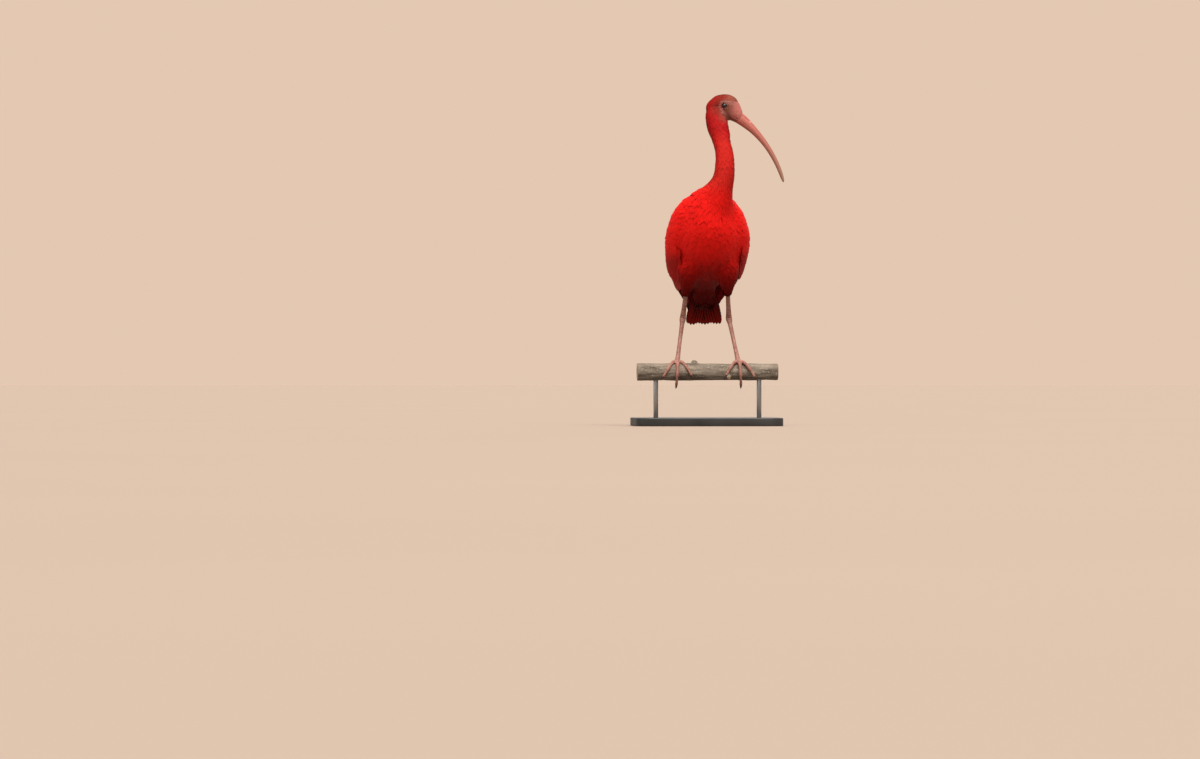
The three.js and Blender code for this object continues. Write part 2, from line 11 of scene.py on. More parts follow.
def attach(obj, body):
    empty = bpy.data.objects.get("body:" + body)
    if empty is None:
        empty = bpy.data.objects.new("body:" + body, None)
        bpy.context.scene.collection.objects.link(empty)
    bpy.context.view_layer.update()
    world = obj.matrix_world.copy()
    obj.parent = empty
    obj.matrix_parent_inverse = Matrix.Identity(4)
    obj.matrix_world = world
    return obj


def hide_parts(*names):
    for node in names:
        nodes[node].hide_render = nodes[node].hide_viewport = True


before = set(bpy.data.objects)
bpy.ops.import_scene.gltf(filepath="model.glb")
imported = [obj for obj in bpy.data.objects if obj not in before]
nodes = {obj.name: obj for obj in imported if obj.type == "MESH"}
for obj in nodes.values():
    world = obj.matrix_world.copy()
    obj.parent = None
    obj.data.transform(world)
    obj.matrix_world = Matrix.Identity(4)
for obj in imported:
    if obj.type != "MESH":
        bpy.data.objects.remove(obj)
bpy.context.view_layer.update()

scene = bpy.context.scene
draw = np.random.default_rng(23)
mm = 0.001
sides = {"left": 1, "right": -1}  # the bird's left is +X, and it faces -Y

# Camera, light and floor, in metres and degrees
photoView = dict(azimuth=-4, distance=9.0, frameWidth=2.04, across=-0.182, height=0.079, sensor=36)
studio = dict(
    skyTone=(0.775, 0.578, 0.445), ambientTone=(1.0, 0.94, 0.90), ambient=0.34,
    floorTone=(0.398, 0.304, 0.236), floorBounce=(0.235, 0.187, 0.15), floorRadius=60,
)
lamps = {
    # where the light comes from, spread in degrees, strength, colour
    "keyLamp": ((0.2, -1.0, 1.75), 50, 4.6, (1.0, 0.97, 0.94)),
    "sideLamp": ((-1.6, -0.6, 1.2), 70, 0.7, (1.0, 0.95, 0.90)),
    "rearLamp": ((0.5, 1.4, 1.2), 60, 0.8, (1.0, 0.97, 0.94)),
}


def setCamera():
    turn = math.radians(photoView["azimuth"])
    back = Vector((math.sin(turn), -math.cos(turn), 0))
    right = Vector((math.cos(turn), math.sin(turn), 0))
    lens = bpy.data.cameras.new("photoCamera")
    lens.sensor_width = photoView["sensor"]
    lens.lens = photoView["sensor"] * photoView["distance"] / photoView["frameWidth"]
    lens.clip_end = 200
    camera = bpy.data.objects.new("photoCamera", lens)
    camera.location = back * photoView["distance"] + right * photoView["across"]
    camera.location.z = photoView["height"]
    camera.rotation_euler = (math.pi / 2, 0, turn)
    scene.collection.objects.link(camera)
    scene.camera = camera
    scene.view_settings.view_transform = "Standard"


def setLamps():
    for name, (source, spread, strength, tone) in lamps.items():
        lamp = bpy.data.lights.new(name, "SUN")
        lamp.angle = math.radians(spread)
        lamp.energy = strength
        lamp.color = tone
        holder = bpy.data.objects.new(name, lamp)
        holder.location = Vector(source) * 3
        holder.rotation_euler = (-Vector(source)).to_track_quat("-Z", "Y").to_euler()
        scene.collection.objects.link(holder)


# Materials: small helpers, the shared groups, then each finish
def setInputs(tree, sockets, values):
    # a socket among the values is linked, anything else is set
    for key, value in values.items():
        if isinstance(value, bpy.types.NodeSocket):
            tree.links.new(value, sockets[key])
        else:
            sockets[key].default_value = value


def addNode(tree, kind, inputs=None, **settings):
    made = tree.nodes.new("ShaderNode" + kind)
    for key, value in settings.items():
        setattr(made, key, value)
    setInputs(tree, made.inputs, inputs or {})
    return made


def mathOf(tree, how, first, second=0.0, third=0.5, clamp=False):
    made = addNode(tree, "Math", {0: first, 1: second, 2: third}, operation=how, use_clamp=clamp)
    return made.outputs[0]


def noiseOf(tree, place, scale, detail, roughness=0.5, distortion=0.0):
    made = addNode(tree, "TexNoise", {
        "Vector": place, "Scale": scale, "Detail": detail, "Roughness": roughness, "Distortion": distortion,
    })
    return made.outputs[0]


def attributeOf(tree, name, kind="Fac"):
    return addNode(tree, "Attribute", attribute_name=name).outputs[kind]


def mixTones(tree, factor, first, second, how="MIX"):
    pair = [value if isinstance(value, bpy.types.NodeSocket) else (*value, 1) for value in (first, second)]
    made = addNode(tree, "Mix", {0: factor, 6: pair[0], 7: pair[1]}, data_type="RGBA", blend_type=how)
    return made.outputs[2]


def rampOf(tree, factor, stops):
    made = addNode(tree, "ValToRGB", {0: factor})
    elements = made.color_ramp.elements
    for spot, (place, tone) in enumerate(stops):
        element = elements[spot] if spot < 2 else elements.new(place)
        element.position = place
        element.color = (*tone, 1)
    return made.outputs[0]


def maskOf(tree, value, low, high, most=1):
    return rampOf(tree, value, [(low, (0, 0, 0)), (high, (most, most, most))])


def newGroup(name, inputs, outputs):
    tree = bpy.data.node_groups.new(name, "ShaderNodeTree")
    for label, kind, value in inputs:
        socket = tree.interface.new_socket(label, in_out="INPUT", socket_type="NodeSocket" + kind)
        if value is not None:
            socket.default_value = value
    for label, kind in outputs:
        tree.interface.new_socket(label, in_out="OUTPUT", socket_type="NodeSocket" + kind)
    return tree, tree.nodes.new("NodeGroupInput").outputs, tree.nodes.new("NodeGroupOutput").inputs


def useGroup(tree, group, inputs):
    made = tree.nodes.new("ShaderNodeGroup")
    made.node_tree = group
    setInputs(tree, made.inputs, inputs)
    return made.outputs


barbForm = dict(slant=0.55, wobble=0.05, shaftWidth=26.0, shaftShow=0.35, relief=0.45)


# Barbs run out and forward from the shaft of a vane, and the shaft is a fine ridge
def barbGroup():
    tree, given, out = newGroup(
        "barbGrain",
        [("Vane", "Vector", None), ("Tone", "Color", (1, 0, 0, 1)), ("Barbs", "Float", 30.0),
         ("Contrast", "Float", 0.3)],
        [("Color", "Color"), ("Height", "Float")],
    )
    parts = addNode(tree, "SeparateXYZ", {0: given["Vane"]}).outputs
    offset = mathOf(tree, "ABSOLUTE", mathOf(tree, "SUBTRACT", parts[0], 0.5))
    slanted = mathOf(tree, "SUBTRACT", parts[1], mathOf(tree, "MULTIPLY", offset, barbForm["slant"]))
    wobble = mathOf(tree, "MULTIPLY", noiseOf(tree, given["Vane"], 7.0, 3.0), barbForm["wobble"])
    count = mathOf(tree, "MULTIPLY", mathOf(tree, "ADD", slanted, wobble), given["Barbs"])
    wave = mathOf(tree, "SINE", mathOf(tree, "MULTIPLY", count, math.tau))
    lines = mathOf(tree, "MULTIPLY_ADD", wave, 0.5, 0.5)
    away = mathOf(tree, "MULTIPLY", offset, barbForm["shaftWidth"], clamp=True)
    shaft = mathOf(tree, "SUBTRACT", 1.0, away, clamp=True)
    gaps = mathOf(tree, "MULTIPLY", given["Contrast"], mathOf(tree, "SUBTRACT", 1.0, lines))
    darker = mixTones(tree, gaps, given["Tone"], (0.25, 0.02, 0.015), "MULTIPLY")
    streak = mathOf(tree, "MULTIPLY", given["Contrast"], noiseOf(tree, given["Vane"], 3.0, 2.0))
    lighter = mixTones(tree, streak, darker, (0.95, 0.10, 0.06), "SOFT_LIGHT")
    veined = mathOf(tree, "MULTIPLY", shaft, barbForm["shaftShow"])
    tree.links.new(mixTones(tree, veined, lighter, (0.35, 0.02, 0.015)), out["Color"])
    tree.links.new(mathOf(tree, "MULTIPLY_ADD", lines, barbForm["relief"], shaft), out["Height"])
    return tree


grainForm = dict(foldShare=0.3, patchShare=0.12)  # how much coarser folds and patches are than the grain


# Fine folds and grains of bare skin or horn, at a size given in metres
def grainGroup():
    tree, given, out = newGroup(
        "skinGrain",
        [("Place", "Vector", None), ("Grain", "Float", 0.001), ("Stretch", "Float", 1.0)],
        [("Height", "Float"), ("Mottle", "Float")],
    )
    frequency = mathOf(tree, "DIVIDE", 1.0, given["Grain"])
    cells = addNode(tree, "TexVoronoi", {"Vector": given["Place"], "Scale": frequency, "Randomness": 0.9})
    raised = mathOf(tree, "MULTIPLY", cells.outputs[0], given["Stretch"])
    coarser = mathOf(tree, "MULTIPLY", frequency, grainForm["foldShare"])
    folds = noiseOf(tree, given["Place"], coarser, 4.0, distortion=0.6)
    tree.links.new(mathOf(tree, "ADD", raised, folds), out["Height"])
    coarsest = mathOf(tree, "MULTIPLY", frequency, grainForm["patchShare"])
    tree.links.new(noiseOf(tree, given["Place"], coarsest, 3.0), out["Mottle"])
    return tree


barbGrain = barbGroup()
skinGrain = grainGroup()


def newMaterial(name, constants):
    made = bpy.data.materials.new(name)
    made.use_nodes = True
    inputs = made.node_tree.nodes["Principled BSDF"].inputs
    setInputs(made.node_tree, inputs, constants)
    return made, made.node_tree, inputs


def addBump(tree, inputs, height, strength, distance):
    bump = addNode(tree, "Bump", {"Height": height, "Strength": strength, "Distance": distance})
    tree.links.new(bump.outputs[0], inputs["Normal"])


def objectPlace(tree, scale=(1, 1, 1), shift=(0, 0, 0)):
    place = addNode(tree, "TexCoord").outputs["Object"]
    return addNode(tree, "Mapping", {"Vector": place, "Scale": scale, "Location": shift}).outputs[0]


def featherMaterial(name, barbs, contrast, roughness):
    made, tree, inputs = newMaterial(name, {
        "Roughness": roughness, "Specular IOR Level": 0.09, "Sheen Weight": 0.03, "Sheen Roughness": 0.45,
        "Sheen Tint": (1.0, 0.35, 0.25, 1),
    })
    grain = useGroup(tree, barbGrain, {
        "Vane": addNode(tree, "UVMap", uv_map="vane").outputs[0], "Tone": attributeOf(tree, "tone", "Color"),
        "Barbs": barbs, "Contrast": contrast,
    })
    tree.links.new(grain["Color"], inputs["Base Color"])
    addBump(tree, inputs, grain["Height"], 0.3, 0.00025)
    return made


def skinMaterial():
    made, tree, inputs = newMaterial("faceAndDown", {
        "Specular IOR Level": 0.4, "Subsurface Weight": 0.08, "Subsurface Radius": (0.004, 0.0015, 0.001),
    })
    grain = useGroup(tree, skinGrain, {"Place": objectPlace(tree), "Grain": 0.0007, "Stretch": 0.6})
    patches = mathOf(tree, "MULTIPLY", grain["Mottle"], 0.45)
    tone = mixTones(tree, patches, attributeOf(tree, "tone", "Color"), (0.55, 0.35, 0.3), "MULTIPLY")
    tree.links.new(tone, inputs["Base Color"])
    shine = mathOf(tree, "MULTIPLY", attributeOf(tree, "bare"), 0.37)
    tree.links.new(mathOf(tree, "SUBTRACT", 0.85, shine), inputs["Roughness"])
    addBump(tree, inputs, grain["Height"], 0.35, 0.00035)
    return made


def billMaterial():
    made, tree, inputs = newMaterial("billHorn", {
        "Specular IOR Level": 0.45, "Coat Weight": 0.12, "Coat Roughness": 0.3,
    })
    along = addNode(tree, "SeparateXYZ", {0: addNode(tree, "UVMap", uv_map="wrap").outputs[0]}).outputs[1]
    base = rampOf(tree, along, [
        (0.0, (0.54, 0.150, 0.112)), (1.0, (0.33, 0.190, 0.115)), (0.08, (0.50, 0.130, 0.095)),
        (0.35, (0.46, 0.130, 0.095)), (0.7, (0.40, 0.155, 0.105)), (0.9, (0.35, 0.175, 0.11)),
    ])
    place = objectPlace(tree)
    streaks = mathOf(tree, "MULTIPLY", noiseOf(tree, place, 90.0, 5.0, 0.6), 0.4)
    tree.links.new(mixTones(tree, streaks, base, (0.55, 0.42, 0.36), "MULTIPLY"), inputs["Base Color"])
    grain = useGroup(tree, skinGrain, {"Place": place, "Grain": 0.0009, "Stretch": 0.5})
    tree.links.new(mathOf(tree, "MULTIPLY_ADD", grain["Mottle"], 0.25, 0.3), inputs["Roughness"])
    addBump(tree, inputs, grain["Height"], 0.3, 0.0003)
    return made


# Overlapping plates round the shank and across the toes, from the attribute that follows the leg
def legMaterial():
    made, tree, inputs = newMaterial("legSkin", {"Specular IOR Level": 0.4, "Roughness": 0.5})
    follow = attributeOf(tree, "scute", "Vector")
    stretched = addNode(tree, "Mapping", {"Vector": follow, "Scale": (1.0, 0.42, 1.0)}).outputs[0]
    plates = addNode(tree, "TexVoronoi", {"Vector": stretched, "Scale": 1.0, "Randomness": 0.55},
                     feature="DISTANCE_TO_EDGE")
    groove = maskOf(tree, plates.outputs[0], 0.0, 0.09)
    mottle = noiseOf(tree, objectPlace(tree), 60.0, 4.0)
    tone = rampOf(tree, mottle, [(0.3, (0.30, 0.125, 0.090)), (0.7, (0.45, 0.21, 0.155))])
    tree.links.new(mixTones(tree, groove, (0.20, 0.06, 0.045), tone), inputs["Base Color"])
    addBump(tree, inputs, groove, 0.6, 0.0004)
    return made


def clawMaterial():
    made, tree, inputs = newMaterial("clawHorn", {"Roughness": 0.34, "Specular IOR Level": 0.5})
    streaks = noiseOf(tree, objectPlace(tree, (1, 1, 0.3)), 700.0, 3.0)
    tone = rampOf(tree, streaks, [(0.35, (0.045, 0.022, 0.016)), (0.7, (0.13, 0.062, 0.045))])
    tree.links.new(tone, inputs["Base Color"])
    addBump(tree, inputs, streaks, 0.25, 0.0002)
    return made


def eyeMaterial():
    made, tree, inputs = newMaterial("eyeGloss", {
        "Roughness": 0.15, "Coat Weight": 0.14, "Coat Roughness": 0.05,
    })
    ring = attributeOf(tree, "ring")
    fibres = noiseOf(tree, objectPlace(tree), 1400.0, 3.0)
    iris = rampOf(tree, fibres, [(0.3, (0.016, 0.006, 0.004)), (0.7, (0.045, 0.015, 0.009))])
    ball = mixTones(tree, maskOf(tree, ring, 0.30, 0.34), (0.003, 0.002, 0.002), iris)
    rimmed = mixTones(tree, maskOf(tree, ring, 0.62, 0.74), ball, (0.02, 0.008, 0.006))
    tree.links.new(rimmed, inputs["Base Color"])
    return made


woodForm = dict(pith=(0, 0.0085, -0.0925), rings=5200.0, shake=2.5)  # the pith lies a little off the middle


def barkMaterial():
    made, tree, inputs = newMaterial("branchBark", {"Roughness": 0.88, "Specular IOR Level": 0.25})
    ribs = noiseOf(tree, objectPlace(tree, (0.22, 1, 1)), 120.0, 8.0, 0.65)
    flecks = noiseOf(tree, objectPlace(tree), 420.0, 4.0)
    bark = rampOf(tree, ribs, [(0.3, (0.075, 0.052, 0.036)), (0.72, (0.33, 0.265, 0.20))])
    lichen = mixTones(tree, maskOf(tree, flecks, 0.56, 0.68, 0.6), bark, (0.42, 0.40, 0.33))
    parts = addNode(tree, "SeparateXYZ", {0: objectPlace(tree, shift=woodForm["pith"])}).outputs
    squares = [mathOf(tree, "POWER", parts[axis], 2.0) for axis in (1, 2)]
    away = mathOf(tree, "SQRT", mathOf(tree, "ADD", *squares))
    shaken = mathOf(tree, "MULTIPLY", flecks, woodForm["shake"])
    rings = mathOf(tree, "SINE", mathOf(tree, "MULTIPLY_ADD", away, woodForm["rings"], shaken))
    share = mathOf(tree, "MULTIPLY_ADD", rings, 0.5, 0.5)
    wood = rampOf(tree, share, [(0.1, (0.30, 0.19, 0.105)), (0.9, (0.55, 0.41, 0.26))])
    tree.links.new(mixTones(tree, attributeOf(tree, "cut"), lichen, wood), inputs["Base Color"])
    addBump(tree, inputs, ribs, 0.6, 0.0016)
    return made


def paintMaterial():
    made, tree, inputs = newMaterial("standPaint", {
        "Specular IOR Level": 0.45, "Coat Weight": 0.15, "Coat Roughness": 0.35,
    })
    dust = noiseOf(tree, objectPlace(tree), 14.0, 5.0)
    tone = rampOf(tree, dust, [(0.35, (0.020, 0.018, 0.016)), (0.75, (0.042, 0.037, 0.033))])
    tree.links.new(tone, inputs["Base Color"])
    tree.links.new(mathOf(tree, "MULTIPLY_ADD", dust, 0.3, 0.32), inputs["Roughness"])
    addBump(tree, inputs, noiseOf(tree, objectPlace(tree), 900.0, 4.0), 0.12, 0.0004)
    return made


def steelMaterial():
    made, tree, inputs = newMaterial("rodSteel", {"Metallic": 1.0})
    turned = noiseOf(tree, objectPlace(tree, (0.3, 0.3, 9)), 300.0, 5.0)
    tone = rampOf(tree, turned, [(0.3, (0.36, 0.35, 0.335)), (0.7, (0.52, 0.505, 0.49))])
    tree.links.new(tone, inputs["Base Color"])
    tree.links.new(mathOf(tree, "MULTIPLY_ADD", turned, 0.22, 0.2), inputs["Roughness"])
    addBump(tree, inputs, turned, 0.15, 0.0002)
    return made


def floorMaterial():
    made, tree, inputs = newMaterial("paleFloor", {"Roughness": 0.9, "Specular IOR Level": 0.15})
    tone = studio["floorTone"]
    dim = tuple(0.98 * part for part in tone)
    seen = addNode(tree, "LightPath").outputs["Is Camera Ray"]
    shown = rampOf(tree, noiseOf(tree, objectPlace(tree), 1.2, 3.0), [(0.3, dim), (0.7, tone)])
    tree.links.new(mixTones(tree, seen, studio["floorBounce"], shown), inputs["Base Color"])
    return made


def setWorld():
    world = bpy.data.worlds.new("studioSky")
    world.use_nodes = True
    scene.world = world
    tree = world.node_tree
    shader = tree.nodes["Background"]
    seen = addNode(tree, "LightPath").outputs["Is Camera Ray"]
    ambient = tuple(part * studio["ambient"] for part in studio["ambientTone"])
    tree.links.new(mixTones(tree, seen, ambient, studio["skyTone"]), shader.inputs["Color"])


def setFloor():
    bm = bmesh.new()
    bmesh.ops.create_circle(bm, cap_ends=True, segments=96, radius=studio["floorRadius"])
    mesh = bpy.data.meshes.new("floor")
    bm.to_mesh(mesh)
    floor = bpy.data.objects.new("floor", mesh)
    mesh.materials.append(floorMaterial())
    scene.collection.objects.link(floor)


setCamera()
setLamps()
setWorld()
setFloor()
print("stage ready")

finishes = {
    "bodyFeather": featherMaterial("bodyFeather", 52.0, 0.24, 0.64),
    "fineFeather": featherMaterial("fineFeather", 26.0, 0.2, 0.68),
    "flightFeather": featherMaterial("flightFeather", 130.0, 0.3, 0.52),
    "skin": skinMaterial(), "bill": billMaterial(), "leg": legMaterial(), "claw": clawMaterial(),
    "eye": eyeMaterial(), "bark": barkMaterial(), "paint": paintMaterial(), "steel": steelMaterial(),
}


# The measures of the solids, in millimetres, and the spaces that they are laid out in
def sectionAt(rows, places):
    table = np.array(rows, float)
    table = table if table[0, 0] < table[-1, 0] else table[::-1]
    keys, values = table[:, 0], table[:, 1:]
    slopes = np.empty_like(values)
    slopes[1:-1] = (values[2:] - values[:-2]) / (keys[2:] - keys[:-2])[:, None]
    slopes[0] = (values[1] - values[0]) / (keys[1] - keys[0])
    slopes[-1] = (values[-1] - values[-2]) / (keys[-1] - keys[-2])
    x = np.clip(np.asarray(places, float), keys[0], keys[-1])
    i = np.clip(np.searchsorted(keys, x, "right") - 1, 0, len(keys) - 2)
    span = (keys[i + 1] - keys[i])[..., None]
    t = (x[..., None] - keys[i][..., None]) / span
    t2, t3 = t * t, t * t * t
    made = (values[i] * (2 * t3 - 3 * t2 + 1) + slopes[i] * span * (t3 - 2 * t2 + t)
            + values[i + 1] * (3 * t2 - 2 * t3) + slopes[i + 1] * span * (t3 - t2))
    return np.moveaxis(made, -1, 0)


def unit(vectors):
    return vectors / np.maximum(np.linalg.norm(vectors, axis=-1, keepdims=True), 1e-9)


def ease(low, high, value):
    t = np.clip((value - low) / (high - low), 0, 1)
    return t * t * (3 - 2 * t)

def between(start, end, share):
    return start + (end - start) * share


bodyPitch = math.radians(44)
bodyCentre = np.array([1, 0, 312.0])
bodyForward = np.array([0, -math.cos(bodyPitch), math.sin(bodyPitch)])
bodyUp = np.array([0, math.sin(bodyPitch), math.cos(bodyPitch)])
toSide = np.array([1.0, 0, 0])


def bodyPoint(along, side, up):
    return (bodyCentre + np.multiply.outer(along, bodyForward) + np.multiply.outer(up, bodyUp)
            + np.multiply.outer(side, toSide))


wingBed = [
    # along the body's axis, half width, half height, lift
    [-186, 14, 9, -10], [-140, 28, 22, -5], [-100, 44.5, 36, -2], [-60, 55, 48, 0], [-20, 58, 53, 0],
    [20, 57.6, 53, 0], [60, 50.5, 46, 1], [96, 35.5, 33, 3], [110, 24, 23, 5],
]
wingEdges = [
    # along, angle of the lower edge, angle of the upper edge
    [-186, 14, 66], [-140, -12, 78], [-100, -24, 80], [-60, -31, 76], [-20, -36, 70], [20, -35, 62],
    [60, -27, 52], [88, -6, 34],
]
wingDraw = dict(lowerEdge=0.42, upperEdge=0.5, front=0.25, coreFront=92, frontLength=66, rear=0.55,
                rearStart=-84, rearLength=95)


def wingPoint(side, along, angle, height):
    width, high, lift = sectionAt(wingBed, along)
    turn = np.radians(angle)
    out = unit(np.stack([np.cos(turn) / width, np.sin(turn) / high], -1))
    return bodyPoint(along, side * (np.cos(turn) * width + out[..., 0] * height),
                     lift + np.sin(turn) * high + out[..., 1] * height)


def wingSpace(side, along, share, height, rise=0):
    low, up = sectionAt(wingEdges, along)
    edge = np.sin(np.pi * np.clip(share, 0, 1)) ** 0.6
    least = np.where(share < 0.5, wingDraw["lowerEdge"], wingDraw["upperEdge"])
    front = np.sin(np.pi / 2 * np.clip((wingDraw["coreFront"] - along) / wingDraw["frontLength"], 0, 1))
    rear = np.clip((wingDraw["rearStart"] - along) / wingDraw["rearLength"], 0, 1)
    drawn = ((least + (1 - least) * edge) * (wingDraw["front"] + (1 - wingDraw["front"]) * front)
             * (1 - (1 - wingDraw["rear"]) * rear))
    return wingPoint(side, along, low + (up - low) * share, 1.2 + height * drawn + rise)


def shareOf(length, along, share):
    low, up = sectionAt(wingEdges, along)
    start = wingPoint(1, along, low + (up - low) * (share - 0.02), 0)
    end = wingPoint(1, along, low + (up - low) * (share + 0.02), 0)
    return length * 0.04 / np.linalg.norm(end - start, axis=-1)


headOrigin = np.array([26, -50, 543.0])
headYaw, headPitch = math.radians(80), math.radians(25)
headAhead = np.array([math.cos(headPitch) * math.sin(headYaw), -math.cos(headPitch) * math.cos(headYaw),
                      -math.sin(headPitch)])
headLeft = np.array([math.cos(headYaw), math.sin(headYaw), 0])
headUp = np.cross(headAhead, headLeft)
headUp = headUp if headUp[2] > 0 else -headUp


def headPoint(ahead, left, up):
    return (headOrigin + np.multiply.outer(ahead, headAhead) + np.multiply.outer(left, headLeft)
            + np.multiply.outer(up, headUp))


neckLine = np.array([
    # down the middle of the neck, from the nape to the breast
    (14.6, -49.5, 545), (13, -51.5, 528), (13.2, -58.5, 508), (18.8, -69, 486), (24, -79, 462),
    (24.4, -84, 438), (19, -80, 410), (11, -66, 384), (4, -50, 358),
], float)
legShift = 1
hock = dict(side=39.5, y=35, z=183.5)
footJoint = dict(side=52, y=-2)
knee = dict(side=30, y=-16, z=291)
perch = dict(axisHeight=92, axisY=-8, radius=14, halfLength=120)
rod = dict(radius=4, spread=88)
base = dict(length=250, depth=176, thickness=14, corner=26, bevel=1.6, centreY=14)
tailFan = dict(rootAlong=-92, tipAlong=-178, rootLift=-6, tipLift=-20, rootHalfWidth=11, tipHalfWidth=27.5,
               step=1.3, rounding=5, swing=3)
tailRoot = [
    # along, half width, half height, lift
    [-70, 20, 13, -7], [-88, 20, 12, -10], [-112, 21, 10, -13.5], [-131, 20, 6.5, -17], [-147, 14, 3, -20.5],
]


def legPoint(side, joint, z=None):
    return np.array([legShift + side * joint["side"], joint["y"], joint["z"] if z is None else z], float)


# Shaping helpers
def sleeve(columns, rows, placeAt):
    # a sheet rolled into a tube: placeAt gives the place of each turn and share of the length
    bm = bmesh.new()
    wrap = bm.loops.layers.uv.new("wrap")
    bmesh.ops.create_grid(bm, x_segments=columns, y_segments=rows, size=0.5)
    for face in bm.faces:
        for loop in face.loops:
            loop[wrap].uv = (loop.vert.co.x + 0.5, loop.vert.co.y + 0.5)
    flat = np.array([vert.co for vert in bm.verts])[:, :2] + 0.5
    for vert, place in zip(bm.verts, placeAt(flat[:, 0], flat[:, 1]) * mm):
        vert.co = place
    bmesh.ops.remove_doubles(bm, verts=bm.verts, dist=2e-6)
    bmesh.ops.recalc_face_normals(bm, faces=bm.faces)
    return bm


def tubePlaces(points, radii, flatten=1.0, cap=0.04):
    # tube of changing radius along a line of points, with the last share of its length rounded at each end
    columns = np.column_stack([np.linspace(0, 1, len(points)), points, radii])

    def placeAt(turn, share):
        inner = np.clip((share - cap) / (1 - 2 * cap), 0, 1)
        first = ((cap - share) / cap).clip(0, 1)
        last = ((share - (1 - cap)) / cap).clip(0, 1)
        closing = np.sqrt(np.clip(1 - first ** 2, 0, 1)) * np.sqrt(np.clip(1 - last ** 2, 0, 1))
        x, y, z, radius = sectionAt(columns, inner)
        before = np.stack(sectionAt(columns, inner - 0.01)[:3], -1)
        after = np.stack(sectionAt(columns, inner + 0.01)[:3], -1)
        ahead = unit(after - before)
        across = unit(np.cross(ahead, toSide))
        over = np.cross(across, ahead)
        bulge = ahead * (last - first)[:, None]
        angle = 2 * np.pi * (turn + 0.5)
        return (np.stack([x, y, z], -1) + bulge * radius[:, None] * 0.5
                + across * (np.cos(angle) * radius * closing)[:, None]
                + over * (np.sin(angle) * radius * closing * flatten)[:, None])

    return placeAt


def meshOf(bm, name):
    mesh = bpy.data.meshes.new(name)
    bm.to_mesh(mesh)
    bm.free()
    return mesh


def addPiece(name, mesh, finish, replaced):
    piece = bpy.data.objects.new(name, mesh)
    scene.collection.objects.link(piece)
    mesh.materials.append(finish)
    mesh.shade_smooth()
    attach(piece, "root")
    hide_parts(*replaced)
    return piece


def placeShape(bm, middle, axis=(0, 0, 1)):
    # turns a shape made along Z to another axis and sets it in its place
    turn = Vector(axis).to_track_quat("Z", "Y").to_matrix()
    bmesh.ops.rotate(bm, verts=bm.verts, cent=(0, 0, 0), matrix=turn)
    bmesh.ops.translate(bm, verts=bm.verts, vec=Vector(np.array(middle) * mm))


def gathered(parts):
    # several shapes in one bmesh
    whole = bmesh.new()
    for part in parts:
        loose = meshOf(part, "part")
        whole.from_mesh(loose)
        bpy.data.meshes.remove(loose)
    return whole


def remeshed(bm, size):
    # one closed skin over everything in the bmesh
    holder = bpy.data.objects.new("mould", meshOf(bm, "mould"))
    scene.collection.objects.link(holder)
    change = holder.modifiers.new("skin", "REMESH")
    change.mode = "VOXEL"
    change.voxel_size = size * mm
    ready = holder.evaluated_get(bpy.context.evaluated_depsgraph_get())
    made = bpy.data.meshes.new_from_object(ready)
    bpy.data.objects.remove(holder)
    return made


def keepLargest(mesh):
    # drops closed hollows inside a skin
    bm = bmesh.new()
    bm.from_mesh(mesh)
    bm.verts.ensure_lookup_table()
    seen = np.zeros(len(bm.verts), bool)
    best = []
    for vert in bm.verts:
        if seen[vert.index]:
            continue
        group, edge = [], [vert]
        seen[vert.index] = True
        while edge:
            here = edge.pop()
            group.append(here)
            for link in here.link_edges:
                other = link.other_vert(here)
                if not seen[other.index]:
                    seen[other.index] = True
                    edge.append(other)
        best = group if len(group) > len(best) else best
    kept = {vert.index for vert in best}
    bmesh.ops.delete(bm, geom=[v for v in bm.verts if v.index not in kept], context="VERTS")
    bm.to_mesh(mesh)
    bm.free()


def readAll(source, name, width, kind=np.float32):
    flat = np.empty(len(source) * width, kind)
    source.foreach_get(name, flat)
    return flat.reshape(-1, width)


def placesOf(mesh):
    return readAll(mesh.vertices, "co", 3).astype(float) / mm


def normalsOf(mesh):
    return readAll(mesh.vertex_normals, "vector", 3).astype(float)


def edgesOf(mesh):
    return readAll(mesh.edges, "vertices", 2, np.int32)


def setPlaces(mesh, places):
    mesh.vertices.foreach_set("co", (places * mm).astype(np.float32).ravel())
    mesh.update()


def treeOf(points):
    tree = KDTree(len(points))
    for index, point in enumerate(points):
        tree.insert(point, index)
    tree.balance()
    return tree


def relaxed(values, edges, rounds, weight=0.5, mask=None, keep=False):
    # each value drawn towards the mean of its neighbours, and back out again where the size is to be kept
    count = len(values)
    shared = np.bincount(edges.ravel(), minlength=count)[:, None]
    values = values.reshape(count, -1).copy()
    for turn in range(rounds * 2 if keep else rounds):
        total = np.zeros_like(values)
        for column in range(values.shape[1]):
            total[:, column] = (np.bincount(edges[:, 0], values[edges[:, 1], column], count)
                                + np.bincount(edges[:, 1], values[edges[:, 0], column], count))
        step = (-1.04 * weight if keep and turn % 2 else weight) * (total / np.maximum(shared, 1) - values)
        values += step if mask is None else step * mask[:, None]
    return values


def filled(mesh, edges, mask, rounds, passes=3):
    # hollows rise towards the mean of the skin round them, while ridges stay as they are
    places = placesOf(mesh)
    for _ in range(passes):
        normals = unit(relaxed(normalsOf(mesh), edges, 6))
        rise = ((relaxed(places, edges, rounds, 0.6) - places) * normals).sum(1)
        places = places + normals * relaxed(np.clip(rise, 0, None) * mask, edges, 2)
        setPlaces(mesh, places)
    return places


def setTone(mesh, name, tones):
    layer = mesh.attributes.new(name, "FLOAT_COLOR", "POINT")
    full = np.ones((len(tones), 4), np.float32)
    full[:, :3] = tones
    layer.data.foreach_set("color", full.ravel())


